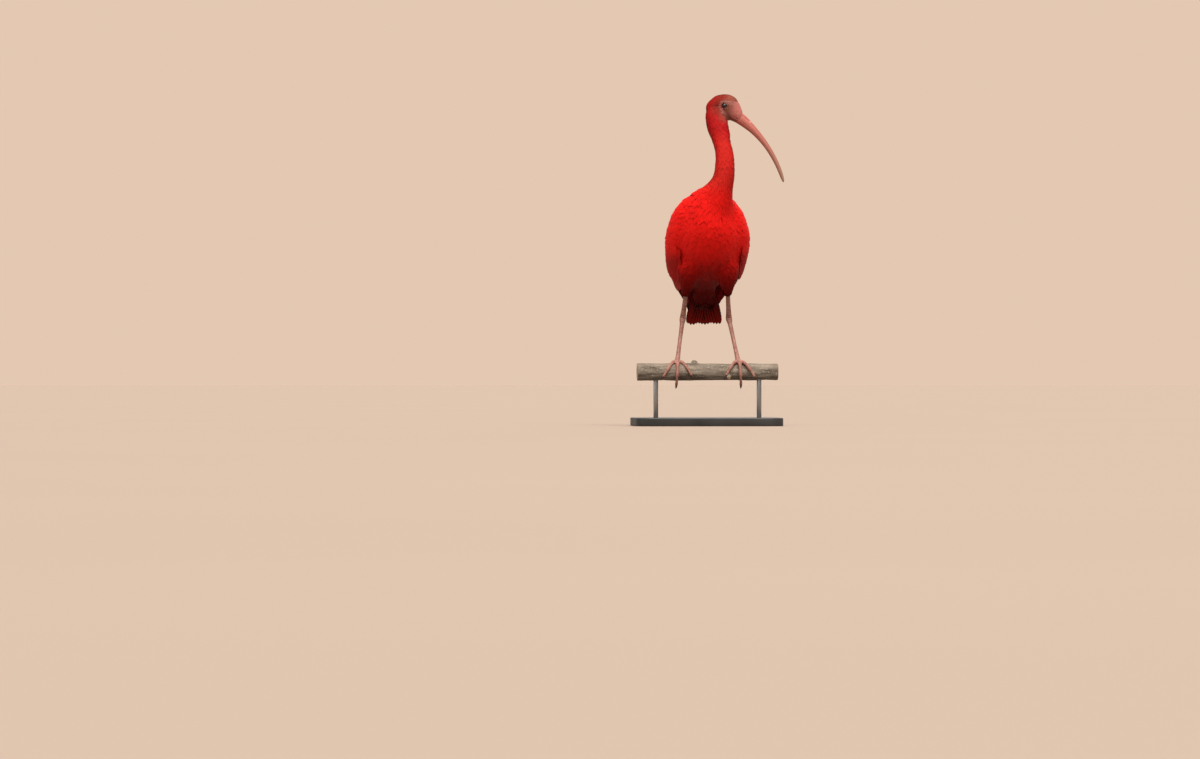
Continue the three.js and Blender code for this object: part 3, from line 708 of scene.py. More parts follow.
def setMask(mesh, name, values):
    layer = mesh.attributes.new(name, "FLOAT", "POINT")
    layer.data.foreach_set("value", np.asarray(values, np.float32))


# The skin is one closed surface under all of the plumage, and bare only on the face
skinForm = dict(voxel=2.3, relax=9, fill=34, wingInner=-8, wingFront=94, wingRear=-66)
mantleForm = dict(front=64, rear=-84, inner=-10, overlap=6)
faceForm = dict(cuts=2, relax=21, lowest=-24, margin=2.5, nearEye=(9.2, 5.3))
# rear, front, half width and half height of the part of the head that gets more faces, and is smoothed
cutBox = (-13, 38, 24, 27)
smoothBox = (-14, 40, 26, 28)
coreHeights = [[94, 10.5], [60, 12.2], [36, 12.8], [16, 13.2], [0, 12.8], [-16, 11.6], [-30, 9.2], [-44, 6.0],
               [-64, 4.4], [-70, 4]]
mantleHeights = [[66, -3], [50, -0.5], [30, 3.4], [8, 7.2], [-20, 8.4], [-40, 6.4], [-60, 1.5], [-84, -5]]
featherEdge = [
    # up from the eyes, ahead of which the face is bare
    [-30, 30], [-24, 21], [-20, 14], [-17, 8], [-14, 2.5], [-10, -4], [-6, -7], [-1, -7.8], [4, -6], [8, 1],
    [11, 11], [15, 21], [20, 27],
]
outlineTrim = [
    # by height, how much fuller the plumage stands on the bird's right and on its left
    [560, 0, 0], [548, 0.6, 0], [536, 3.2, 0], [526, 3.2, 0], [514, 2.0, 0], [500, 1.9, -1.3],
    [486, 2.0, -1.8], [468, 2.7, -1.2], [452, 3.6, -0.2], [440, 3.3, 0], [428, 1.2, 0], [418, -0.4, 0],
    [408, 1.2, -1.2], [397, 3.6, -2.6], [388, 2.6, -3.3], [376, 0.8, -3.6], [360, 0, -3.3], [344, -1.4, -2.9],
    [330, -0.4, -1.4], [316, 0, 0], [200, 0, 0],
]
eyeForm = dict(radius=4.9, side=13.2, ahead=1.1, up=-1.6, wide=1.12, high=0.94)


def roundedOff(share):
    # how far a core is open along its length, closed at both ends
    return np.clip(np.sin(np.pi * share) * 4, 0, 1) ** 0.5


def wingCore(side):
    def placeAt(turn, share):
        along = between(skinForm["wingFront"], skinForm["wingRear"], share)
        angle = 2 * np.pi * turn
        closing = roundedOff(share)
        square = np.sign(np.sin(angle)) * np.abs(np.sin(angle)) ** 0.7
        top = sectionAt(coreHeights, along)[0]
        middle, half = (top + skinForm["wingInner"]) / 2, (top - skinForm["wingInner"]) / 2
        return wingSpace(side, along, 0.5 + 0.46 * np.cos(angle) * closing, middle + half * square * closing)

    return sleeve(56, 60, placeAt)


def tailCore():
    def placeAt(turn, share):
        along = between(tailRoot[0][0], tailRoot[-1][0], share)
        width, height, lift = sectionAt(tailRoot, along)
        closing = np.sqrt(np.clip(1 - (2 * share - 1) ** 12, 0, 1))
        angle = 2 * np.pi * turn
        return bodyPoint(along, np.cos(angle) * (width - 1.5) * closing,
                         lift + np.sin(angle) * (height - 1) * closing)

    return sleeve(36, 30, placeAt)


def mantleCore():
    # the back's plumage fills the space between the folded wings
    def placeAt(turn, share):
        along = between(mantleForm["front"], mantleForm["rear"], share)
        angle = 2 * np.pi * turn
        closing = roundedOff(share)
        top = sectionAt(mantleHeights, along)[0]
        middle, half = (top + mantleForm["inner"]) / 2, (top - mantleForm["inner"]) / 2
        reach = 90 - sectionAt(wingEdges, along)[1] + mantleForm["overlap"]
        return wingPoint(1, along, 90 + reach * np.cos(angle) * (0.4 + 0.6 * closing),
                         middle + half * np.sin(angle) * closing)

    return sleeve(40, 50, placeAt)


def fleshOf(name):
    bm = bmesh.new()
    bm.from_mesh(nodes[name].data)
    bmesh.ops.remove_doubles(bm, verts=bm.verts, dist=1e-6)
    return bm


fleshNames = ["head", "neck", "torso", "thigh_left", "thigh_right"]
cores = [
    ("wing", wingCore, (sides["left"],)), ("wing", wingCore, (sides["right"],)), ("tail", tailCore, ()),
    ("torso", mantleCore, ()),
]
flesh = [fleshOf(name) for name in fleshNames] + [core(*place) for _, core, place in cores]
skinMesh = remeshed(gathered(flesh), skinForm["voxel"])
keepLargest(skinMesh)
print("skin moulded", len(skinMesh.vertices))


def headSpace(places):
    away = places - headOrigin
    return away @ headAhead, away @ headLeft, away @ headUp


def inBox(ahead, left, up, box):
    rear, front, halfWidth, halfHeight = box
    return (ahead > rear) & (ahead < front) & (np.abs(left) < halfWidth) & (np.abs(up) < halfHeight)


def eyeDistance(ahead, up):
    return np.hypot((ahead - eyeForm["ahead"]) / eyeForm["wide"], (up - eyeForm["up"]) / eyeForm["high"])


def refineFace(mesh):
    # more faces on the head, where folds and lids are small, and most of them at the eyes
    bm = bmesh.new()
    bm.from_mesh(mesh)
    bm.verts.ensure_lookup_table()
    for cut in range(faceForm["cuts"] + len(faceForm["nearEye"])):
        ahead, left, up = headSpace(np.array([vert.co for vert in bm.verts]) / mm)
        chosen = inBox(ahead, left, up, cutBox)
        if cut:
            bareFrom = sectionAt(featherEdge, up)[0] - faceForm["margin"]
            chosen &= (ahead > bareFrom) & (up > faceForm["lowest"])
        if cut >= faceForm["cuts"]:
            away = np.hypot(ahead - eyeForm["ahead"], up - eyeForm["up"])
            chosen = (away < faceForm["nearEye"][cut - faceForm["cuts"]]) & (np.abs(left) < cutBox[2])
        faces = [face for face in bm.faces if all(chosen[vert.index] for vert in face.verts)]
        edges = {edge for face in faces for edge in face.edges}
        bmesh.ops.subdivide_edges(bm, edges=list(edges), cuts=1, use_grid_fill=True)
        bm.verts.index_update()
        bm.verts.ensure_lookup_table()
    bmesh.ops.triangulate(bm, faces=[face for face in bm.faces if len(face.verts) > 4])
    bm.to_mesh(mesh)
    bm.free()


def regionsOf(places):
    # which part of the body each point of the skin belongs to
    clouds = {name: placesOf(nodes[name].data) for name in fleshNames}
    for label, core, place in cores:
        loose = meshOf(core(*place), "loose")
        clouds[label] = np.concatenate([clouds.get(label, np.empty((0, 3))), placesOf(loose)])
        bpy.data.meshes.remove(loose)
    labels = [label for label, cloud in clouds.items() for _ in range(len(cloud))]
    tree = treeOf(np.concatenate(list(clouds.values())))
    return np.array([labels[tree.find(point)[1]] for point in places])


refineFace(skinMesh)
skinEdges = edgesOf(skinMesh)
skinPlaces = placesOf(skinMesh)
skinRegion = regionsOf(skinPlaces)
skinPlaces = relaxed(skinPlaces, skinEdges, skinForm["relax"], keep=True)
ahead, left, up = headSpace(skinPlaces)
# the wing's front and lower edge, the thighs and the breast flow into each other, and the neck into the head
z = skinPlaces[:, 2]
atBody = ease(436, 416, z) * ease(226, 246, z) * ease(60, 40, skinPlaces[:, 1])
atNape = ease(470, 490, z) * ease(548, 536, z) * ease(-4, -12, ahead)
setPlaces(skinMesh, skinPlaces)
skinPlaces = filled(skinMesh, skinEdges, np.maximum(atBody, atNape), skinForm["fill"])
skinPlaces = relaxed(skinPlaces, skinEdges, 6, keep=True)
onFace = inBox(ahead, left, up, smoothBox).astype(float)
skinPlaces = relaxed(skinPlaces, skinEdges, faceForm["relax"], mask=onFace, keep=True)
setPlaces(skinMesh, skinPlaces)
facingSide = relaxed(normalsOf(skinMesh)[:, :1], skinEdges, 4)[:, 0]
toRight, toLeft = sectionAt(outlineTrim, skinPlaces[:, 2])
skinPlaces[:, 0] -= toRight * ease(-0.1, -0.7, facingSide)
skinPlaces[:, 0] += toLeft * ease(0.1, 0.7, facingSide) * ease(20, 6, ahead * (skinPlaces[:, 2] > 490))
setPlaces(skinMesh, skinPlaces)
print("skin refined", len(skinPlaces))

coats = {
    # for each region: length, width and spacing of its feathers, and how high their tips lie
    "head": (3.9, 1.7, 0.95, 0.55), "neck": (12, 2.6, 1.5, 1.4), "torso": (25, 8.6, 3.5, 2.6),
    "thigh_left": (18, 5.0, 2.4, 2.4), "thigh_right": (18, 5.0, 2.4, 2.4), "wing": (19, 8.6, 3.35, 2.1),
    "tail": (24, 9.0, 3.6, 2.2),
}
paintedShadeByHeight = [
    # by height, how bright the plumage is painted: painted shade darkens the underside, painted light lifts
    # the mid breast
    [200, 0.10], [238, 0.15], [256, 0.27], [280, 0.45], [296, 0.82], [310, 1.02], [332, 1.04], [600, 1],
]
tones = dict(
    scarlet=(0.93, 0.0120, 0.0080), neck=(0.59, 0.019, 0.012), nape=(0.42, 0.008, 0.008),
    crown=(0.25, 0.022, 0.012), face=(0.27, 0.080, 0.052), lore=(0.52, 0.158, 0.128),
    gape=(0.14, 0.030, 0.018), lidShade=(0.19, 0.058, 0.040), cheek=(0.36, 0.045, 0.032),
    black=(0.012, 0.008, 0.008), ventShadow=(0.072, 0.0025, 0.002),
)
tones = {name: np.array(tone) for name, tone in tones.items()}
frontTint = (1.12, 1.2, 1.2)  # the feathers next to the face, against the face's own tone
# the painted shade by height darkens the wing feathers no further than this share of scarlet
wingShadeLimit = 0.42


def lieOf(places, regions):
    # the way the plumage runs, from the bill backwards and down
    flow = np.tile(-bodyForward, (len(places), 1))
    segments = unit(np.diff(neckLine, axis=0))
    middles = (neckLine[1:] + neckLine[:-1]) / 2
    nearest = np.argmin(np.linalg.norm(places[:, None] - middles[None], axis=-1), 1)
    flow[regions == "neck"] = segments[nearest[regions == "neck"]]
    onHead = regions == "head"
    droop = ease(4, -24, headSpace(places[onHead])[0])[:, None] * 1.3
    flow[onHead] = unit(droop * np.array([-0.1, -0.15, -1.0]) - headAhead)
    for name, side in sides.items():
        flow[regions == f"thigh_{name}"] = unit(legPoint(side, hock) - legPoint(side, knee))
    return flow


def bareness(places):
    ahead, left, up = headSpace(places)
    nearHead = ease(60, 44, np.linalg.norm(places - headOrigin, axis=1))
    edge = sectionAt(featherEdge, up)[0]
    ragged = np.sin(up * 1.7 + left * 0.6) + np.sin(up * 0.83 - left * 1.1)
    return ease(-2.2, 2.2, ahead - edge + 0.7 * ragged) * nearHead * ease(-25, -20, up)


def toned(base, share, tone):
    return base + share[:, None] * (tone - base)


def toneAt(places):
    # the bird's markings with painted shade under the body, the same for skin and feathers
    x, y, z = places.T
    ahead, _, up = headSpace(places)
    # painted shade by height, darkest at the belly where less light falls
    body = np.outer(sectionAt(paintedShadeByHeight, z)[0], tones["scarlet"])
    # painted shadow at the vent, between the thighs and under the tail
    ventShadow = ease(246, 214, z) * ease(40, 24, np.abs(x - bodyCentre[0])) * ease(-12, 26, y)
    body = toned(body, ventShadow, tones["ventShadow"])
    made = toned(body, ease(385, 425, z), tones["neck"])
    head = toned(tones["nape"], ease(-24, -10, ahead) * ease(-22, -8, up), tones["crown"])
    head = toned(head, ease(-8, 10, ahead) * ease(-26, -12, up) * 0.95, tones["face"] * frontTint)
    return toned(made, ease(478, 512, z), head)


skinNormals = normalsOf(skinMesh)
skinBare = bareness(skinPlaces)
sizes = relaxed(np.array([coats[region] for region in skinRegion]), skinEdges, 14)
flow = lieOf(skinPlaces, skinRegion)
for _ in range(4):
    flow = unit(relaxed(flow, skinEdges, 6))
    flow = unit(flow - skinNormals * (flow * skinNormals).sum(1, keepdims=True))
print("lie of the coat set")

# the height of each fold round the eye, how far out it lies, and its breadth
lidFolds = ((1.0, 4.75, 0.62), (-0.45, 6.2, 0.5), (0.32, 7.2, 0.55), (-0.25, 8.3, 0.5))
lidForm = dict(ball=4.0, sunk=1.0, slitUp=-12.4, slitBreadth=0.7, slitDepth=1.1)


def bell(value, place, breadth):
    return np.exp(-((value - place) / breadth) ** 2)


def shapeFace(places, normals):
    # lids, the folds round them, the corner of the mouth, and fine wrinkles of bare skin
    ahead, left, up = headSpace(places)
    away = eyeDistance(ahead, up)
    # the face draws in to the root of the bill
    tuck = 0.17 * ease(28.5, 36, ahead) * (np.linalg.norm(places - headOrigin, axis=1) < 52)
    middle = -9.6 - (ahead - 31) * 0.25
    made = places - np.outer(left * tuck, headLeft) - np.outer((up - middle) * tuck, headUp)
    lift = sum(height * bell(away, place, breadth) for height, place, breadth in lidFolds)
    ball = eyeForm["side"] + np.sqrt(np.clip(eyeForm["radius"] ** 2 - away ** 2, 0, None)) - lidForm["sunk"]
    slit = bell(up + 0.06 * (ahead - 27), lidForm["slitUp"], lidForm["slitBreadth"]) * ease(19, 23, ahead)
    for side in sides.values():
        out = left * side
        near = (out > 4) & (away < 12)
        made += np.outer(near * lift * side, headLeft)
        sunk = np.where(near & (away < lidForm["ball"]), np.minimum(ball - out, 0), 0) * ease(4.0, 3.4, away)
        made += np.outer(sunk * side, headLeft)
        made -= np.outer(slit * (out > 2) * side * lidForm["slitDepth"], headLeft)
    onSkin = places * skinBare[:, None]
    ripple = np.array([noise.fractal(Vector(point) * 0.55, 0.8, 2.0, 3) for point in onSkin])
    fold = np.sin(ahead * 1.5 + up * 0.9 + 2.2 * ripple) * 0.16 + ripple * 0.14
    made += normals * (fold * skinBare * (np.abs(left) > 3))[:, None]
    return made


depth = sizes[:, 3] * (1 - skinBare)
skinPlaces = shapeFace(skinPlaces - skinNormals * depth[:, None], skinNormals)
setPlaces(skinMesh, skinPlaces)
skinNormals = normalsOf(skinMesh)

ahead, left, up = headSpace(skinPlaces)
bareTone = toned(tones["face"], ease(4, -6, ahead) * ease(2, -8, up), tones["cheek"])
bareTone = toned(bareTone, ease(10, 21, ahead) * ease(-17, -11, up), tones["lore"])
bareTone = toned(bareTone, bell(ahead, 11, 7.5) * bell(up, -18, 4.5) * 0.78, tones["gape"])
# painted shade in a ring on the lids round the eye
bareTone = toned(bareTone, bell(eyeDistance(ahead, up), 4.2, 1.1) * 0.8, tones["lidShade"])
setTone(skinMesh, "tone", toned(toneAt(skinPlaces) * 0.85, skinBare, bareTone))
setMask(skinMesh, "bare", skinBare)
skin = addPiece("skin", skinMesh, finishes["skin"], fleshNames)

# The skin's own unwrap, which the plumage shares at its roots
skinMesh.uv_layers.new(name="OFBake")
bpy.context.view_layer.objects.active = skin
skin.select_set(True)
bpy.ops.object.mode_set(mode="EDIT")
bpy.ops.mesh.select_all(action="SELECT")
bpy.ops.uv.smart_project(angle_limit=math.radians(66), island_margin=0.002)
bpy.ops.object.mode_set(mode="OBJECT")
skinMesh = skin.data
print("skin unwrapped")

# Plumage: one vane for each kind of feather, then thousands of them laid over the skin
skinMesh.calc_loop_triangles()
triVerts = readAll(skinMesh.loop_triangles, "vertices", 3, np.int32)
triLoops = readAll(skinMesh.loop_triangles, "loops", 3, np.int32)
loopUv = readAll(skinMesh.uv_layers["OFBake"].uv, "vector", 2)
skinTree = BVHTree.FromPolygons(skinPlaces.tolist(), triVerts.tolist())
featherForm = dict(variety=0.12, softness=0.68, tries=3.2, rootDepth=0.4, crown=0.16, thickness=0.28)
vanePatch = (0.0015, 0.003)  # how far a feather's bake map reaches round the place of its root


def vaneForm(columns, rows, outline, fringe, tooth=0.0):
    # one closed vane over the square from -1 to 1 across and 0 to 1 along, with a fringed edge
    bm = bmesh.new()
    bmesh.ops.create_grid(bm, x_segments=columns, y_segments=rows, size=1)
    copy = bmesh.ops.duplicate(bm, geom=[*bm.verts, *bm.edges, *bm.faces])["geom"]
    bmesh.ops.reverse_faces(bm, faces=[part for part in copy if isinstance(part, bmesh.types.BMFace)])
    for part in copy:
        if isinstance(part, bmesh.types.BMVert) and max(abs(part.co.x), abs(part.co.y)) < 0.999:
            part.co.z = -1
    bmesh.ops.remove_doubles(bm, verts=bm.verts, dist=1e-5)
    bm.verts.index_update()
    grid = np.array([vert.co for vert in bm.verts])
    bm.normal_update()
    quads = np.array([[vert.index for vert in face.verts] for face in bm.faces])
    upper = np.array([face.normal.z > 0 for face in bm.faces])
    bm.free()
    across, along, level = grid[:, 0].copy(), (grid[:, 1] + 1) / 2, grid[:, 2]
    row, column = np.rint(along * rows).astype(int), np.rint((across + 1) / 2 * columns).astype(int)
    toothed = np.where(row % 2 == 1, 1.0, -1.0) * ease(0.2, 0.45, along)
    atEdge = np.abs(across) > 0.99
    across = across * np.where(atEdge, 1 + fringe * toothed, 1)
    atTip = row == rows
    shift = np.where(atTip, np.where(column % 2 == 1, 0.0, -tooth), 0)
    lag = -0.35 * np.abs(across) / rows * ease(0.3, 0.8, along)
    width = sectionAt(outline, along)[0]
    return dict(across=across * width, side=across, along=along + shift + lag, level=level, quads=quads,
                upper=upper)


outlines = {
    "round": [[0, 0.22], [0.15, 0.55], [0.4, 0.92], [0.65, 1], [0.85, 0.85], [0.95, 0.58], [1, 0.26]],
    "narrow": [[0, 0.3], [0.25, 0.8], [0.55, 1], [0.8, 0.72], [1, 0.12]],
    "flight": [[0, 0.3], [0.1, 0.75], [0.4, 1], [0.78, 0.97], [0.92, 0.72], [0.975, 0.42], [1, 0.12]],
}
vanes = {
    "body": vaneForm(4, 7, outlines["round"], 0.09, 0.03),
    "fine": vaneForm(2, 5, outlines["narrow"], 0.12),
    "tiny": vaneForm(2, 3, outlines["narrow"], 0.06),
    "thigh": vaneForm(2, 8, outlines["narrow"], 0.16),
    "flight": vaneForm(6, 24, outlines["flight"], 0.035, 0.01),
}


def vaneNormals(vane, points, facing, softness):
    # each vertex takes the slope of its own side of the vane, drawn towards the body's slope
    made = np.zeros_like(points)
    for quad, isUpper in zip(vane["quads"], vane["upper"]):
        a, b, c, d = (points[:, index] for index in quad)
        slope = unit(np.cross(c - a, d - b))
        for index in quad:
            if isUpper or vane["level"][index] < 0:
                made[:, index] += slope
    made = unit(made)
    if facing is None:
        return made
    top = (vane["level"] > -0.5)[None, :, None]
    return np.where(top, unit(made * (1 - softness) + facing * softness), made)


def joinVanes(name, vane, points, colours, bakeRoots, finish, replaced, facing=None, softness=0.0):
    # points and colours per feather and vertex, all joined in one mesh
    count, size = points.shape[:2]
    quads = (vane["quads"][None] + (np.arange(count) * size)[:, None, None]).reshape(-1, 4)
    mesh = bpy.data.meshes.new(name)
    mesh.vertices.add(count * size)
    mesh.vertices.foreach_set("co", (points * mm).astype(np.float32).ravel())
    mesh.loops.add(quads.size)
    mesh.loops.foreach_set("vertex_index", quads.astype(np.int32).ravel())
    mesh.polygons.add(len(quads))
    mesh.polygons.foreach_set("loop_start", np.arange(0, quads.size, 4, dtype=np.int32))
    mesh.update(calc_edges=True)
    setTone(mesh, "tone", colours.clip(0, 1).reshape(-1, 3))
    corner = np.tile(vane["quads"].ravel(), count)
    owner = np.repeat(np.arange(count), vane["quads"].size)
    side, along = vane["side"][corner], vane["along"][corner]
    patch = bakeRoots[owner] + np.column_stack([side * vanePatch[0], (along - 0.5) * vanePatch[1]])
    maps = {"vane": np.column_stack([side * 0.5 + 0.5, along]), "OFBake": np.clip(patch, 0, 1)}
    for label, spots in maps.items():
        mesh.uv_layers.new(name=label).uv.foreach_set("vector", spots.astype(np.float32).ravel())
    addPiece(name, mesh, finish, replaced)
    slopes = vaneNormals(vane, points, facing, softness).reshape(-1, 3)
    mesh.normals_split_custom_set_from_vertices(slopes.astype(np.float32))
    print(name, count, "feathers,", len(quads) * 2, "triangles")


def blended(values, corners, mix):
    return (values[corners] * mix[..., None]).sum(1)


def rootsOn(mask):
    # seeded points over the skin, thinned until they keep the coat's spacing
    spacing = sizes[:, 2]
    a, b, c = skinPlaces[triVerts].transpose(1, 0, 2)
    area = np.linalg.norm(np.cross(b - a, c - a), axis=1) / 2
    rate = np.where(mask[triVerts].all(1), area * featherForm["tries"] / spacing[triVerts].mean(1) ** 2, 0)
    picks = draw.choice(len(triVerts), int(rate.sum()), p=rate / rate.sum())
    mix = draw.dirichlet((1, 1, 1), len(picks))
    points = blended(skinPlaces, triVerts[picks], mix)
    reach = (spacing[triVerts[picks]] * mix).sum(1)
    tree = treeOf(points)
    alive = np.ones(len(points), bool)
    for index in draw.permutation(len(points)):
        if alive[index]:
            for _, other, _ in tree.find_range(points[index], reach[index]):
                if other != index:
                    alive[other] = False
    return picks[alive], mix[alive], points[alive]


def nearSkin(points, lift):
    made = np.empty_like(points)
    normals = np.empty_like(points)
    for index, point in enumerate(points):
        spot, normal, _, _ = skinTree.find_nearest(point)
        made[index] = spot
        normals[index] = normal
    return made + normals * lift[:, None], normals


def gradeOf(along):
    # a feather is a little darker at its root
    return (0.88 + 0.14 * along)[:, None]


def growFeathers(name, vane, mask, finish, replaced, stray):
    picks, mix, roots = rootsOn(mask)
    count = len(roots)
    variety = featherForm["variety"]
    long, wide, _, high = blended(sizes, triVerts[picks], mix).T
    length = long * draw.normal(1, variety, count).clip(0.6, 1.4)
    width = wide * draw.normal(1, variety * 0.6, count).clip(0.7, 1.3)
    rise = high * draw.normal(1, 0.10, count).clip(0.6, 1.3)
    normal = unit(blended(skinNormals, triVerts[picks], mix))
    run = unit(blended(flow, triVerts[picks], mix))
    turned = np.radians(draw.normal(0, stray, count))[:, None]
    run = unit(run * np.cos(turned) + np.cross(normal, run) * np.sin(turned))
    middle, _ = nearSkin(roots + run * length[:, None] * 0.5, rise * 0.62)
    end, normalEnd = nearSkin(middle + unit(middle - roots) * length[:, None] * 0.5, rise)
    start = roots - normal * featherForm["rootDepth"]
    bend = 2 * middle - (start + end) / 2
    t = vane["along"][None, :, None]
    half = width[:, None, None] / 2
    line = (1 - t) ** 2 * start[:, None] + 2 * t * (1 - t) * bend[:, None] + t ** 2 * end[:, None]
    facing = unit((1 - t) * normal[:, None] + t * normalEnd[:, None])
    ahead = unit(2 * (1 - t) * (bend - start)[:, None] + 2 * t * (end - bend)[:, None])
    across = unit(np.cross(ahead, facing))
    over = np.cross(across, ahead)
    offset = vane["across"][None, :, None] * half
    drop = (vane["across"] ** 2 * featherForm["crown"])[None, :, None] * half
    thick = (featherForm["thickness"] * vane["level"])[None, :, None]
    points = line + across * offset - over * drop + over * thick
    shade = draw.normal(1, 0.05, count).clip(0.85, 1.15)[:, None, None]
    colours = toneAt(roots)[:, None] * shade * gradeOf(vane["along"])
    bakeRoots = blended(loopUv, triLoops[picks], mix)
    joinVanes(name, vane, points, colours, bakeRoots, finish, replaced, facing, featherForm["softness"])


# Where each patch of plumage grows: nothing grows where the folded wing lies close over the skin
x, _, z = skinPlaces.T
axis = (skinPlaces - bodyCentre) @ bodyForward
rising = (skinPlaces - bodyCentre) @ bodyUp
width, high, lift = sectionAt(wingBed, axis)
angle = np.degrees(np.arctan2((rising - lift) / high, np.abs(x - bodyCentre[0]) / width))
low, top = sectionAt(wingEdges, axis)
share = (angle - low) / (top - low)
thighs = ("thigh_left", "thigh_right")
underWing = (share > 0.15) & ((share < 0.985) | (axis < -48)) & (axis < -26) & (axis > -78) & (z < 420)
underWing &= ~np.isin(skinRegion, (*thighs, "neck", "head"))
feathered = (skinBare < 0.35) & ~underWing & (axis > -124)
isHead = (skinRegion == "head") & feathered
isNeck = (skinRegion == "neck") & feathered
isThigh = np.isin(skinRegion, thighs) & feathered
isBody = feathered & ~isHead & ~isNeck & ~isThigh
isFront = isBody & (rising < lift)
patches = {
    # vane, where it grows, finish, the nodes that it stands for, and how far its feathers stray in degrees
    "headFeathers": ("tiny", isHead, "fineFeather", ["head"], 7),
    "napeFeathers": ("fine", isNeck & (z > 440), "fineFeather", ["neck"], 6),
    "neckFeathers": ("fine", isNeck & (z <= 440), "fineFeather", ["neck"], 6),
    "breastFeathers": ("body", isFront & (z > 300), "bodyFeather", ["torso"], 5),
    "bellyFeathers": ("body", isFront & (z <= 300), "bodyFeather", ["torso"], 5),
    "backFeathers": ("body", isBody & ~isFront, "bodyFeather", ["torso"], 5),
    "thighFeathers": ("thigh", isThigh, "fineFeather", thighs, 5),
}
for name, (vane, mask, finish, replaced, stray) in patches.items():
    growFeathers(name, vanes[vane], mask, finishes[finish], replaced, stray)

# The folded wing, tier over tier
wingTiers = {
    # count; roots and tips along the axis; share of the wing's depth at root and tip; widths; height; tilt
    "primaries": dict(count=7, root=(-46, -46), tip=(-186, -128), rootShare=(0.12, 0.5), tipShare=(0.5, 0.86),
                      width=(13, 13), height=0.8, tilt=2.2),
    "secondaries": dict(count=9, root=(-44, -40), tip=(-94, -144), rootShare=(0.08, 0.62),
                        tipShare=(0.11, 0.68), width=(17, 17), height=3.9, tilt=2.2),
    "tertials": dict(count=6, root=(8, 4), tip=(-106, -160), rootShare=(0.66, 0.96), tipShare=(0.62, 0.9),
                     width=(19, 19), height=7.4, tilt=3.0),
    "greaterCoverts": dict(count=11, root=(-6, -10), tip=(-70, -80), rootShare=(0.10, 0.58),
                           tipShare=(0.10, 0.56), width=(14, 15), height=7.6, tilt=2.2),
    "medianCoverts": dict(count=10, root=(0, -2), tip=(-52, -62), rootShare=(0.10, 0.63),
                          tipShare=(0.10, 0.60), width=(14, 15), height=8.6, tilt=1.8),
    "scapulars": dict(count=7, root=(2, 4), tip=(-64, -92), rootShare=(0.70, 0.97), tipShare=(0.68, 0.95),
                      width=(18, 17), height=8.2, tilt=2.4),
}
wingForm = dict(tipJitter=2.0, crown=0.35, thickness=0.45, buried=7.5, sunk=2.0, black=(-130, -142),
                softness=0.45)
coverlets = dict(front=18, step=4.4, lowRows=14, topRows=20, spacing=6.4, length=(21, 30), width=(9.4, 13.5),
                 rise=2.4)
coverletHeights = [
    # along, height over the wing's bed
    [30, 13.6], [10, 13.6], [-4, 13.2], [-20, 12.4], [-40, 11.6], [-62, 10.8], [-92, 9.8], [-130, 8.0],
]
lowered = {1: 0, -1: 0.085}  # the lower edge of the bird's right wing hangs further over its flank


def bakeSpots(roots):
    # each root's place on the skin's unwrap
    spots = np.empty((len(roots), 2))
    for index, root in enumerate(roots):
        spot, _, tri, _ = skinTree.find_nearest(root)
        corners = skinPlaces[triVerts[tri]]
        weights = 1 / (np.linalg.norm(corners - np.array(spot), axis=1) + 1e-6)
        spots[index] = (loopUv[triLoops[tri]] * (weights / weights.sum())[:, None]).sum(0)
    return spots


def joinTiers(name, vane, points, colours, finish, replaced, facing=None, softness=0.0):
    points = np.array(points)
    roots = points[:, np.argmin(vane["along"] + np.abs(vane["side"]))]
    joinVanes(name, vane, points, np.array(colours), bakeSpots(roots), finish, replaced, facing, softness)


def wingTone(points, along, variety):
    # the wing takes the painted shade by height from toneAt, held above wingShadeLimit
    tone = toneAt(points) * draw.normal(1, variety) * gradeOf(along)
    return np.maximum(tone, tones["scarlet"] * wingShadeLimit)


def wingFeathers(label, side):
    vane = vanes["flight"]
    across, along, level = vane["across"] * -side, vane["along"], vane["level"]
    points, colours = [], []
    for tier, form in wingTiers.items():
        for spot in np.linspace(0, 1, form["count"]):
            start = between(*form["root"], spot)
            end = between(*form["tip"], spot) + draw.normal(0, wingForm["tipJitter"])
            place = between(start, end, along)
            middle = between(between(*form["rootShare"], spot), between(*form["tipShare"], spot), along)
            middle = middle + draw.normal(0, 0.004) - lowered[side] * ease(0.5, 0.1, middle)
            half = shareOf(between(*form["width"], spot) / 2 * np.ones_like(place), place, middle)
            lift = form["height"] + form["tilt"] * (1 - across) / 2
            lift = lift + wingForm["crown"] * (1 - np.abs(vane["side"])) + wingForm["thickness"] * level
            # the roots of the upper tiers sink under the feathers in front of them
            dive = -wingForm["sunk"] * ease(0.12, 0.0, along)
            if form["height"] > 7:
                dive = -wingForm["buried"] * ease(0.42, 0.0, along)
            points.append(wingSpace(side, place, middle + across * half, lift, dive + 0.5))
            tone = wingTone(points[-1], along, 0.075)
            if tier == "primaries":
                red, black = wingForm["black"]
                dark = ease(red - 16 * (1 - spot), black - 14 * (1 - spot), place)
                tone = toned(tone, dark, tones["black"])
            colours.append(tone)
    joinTiers(f"wing_{label}Feathers", vane, points, colours, finishes["flightFeather"], [f"wing_{label}"])


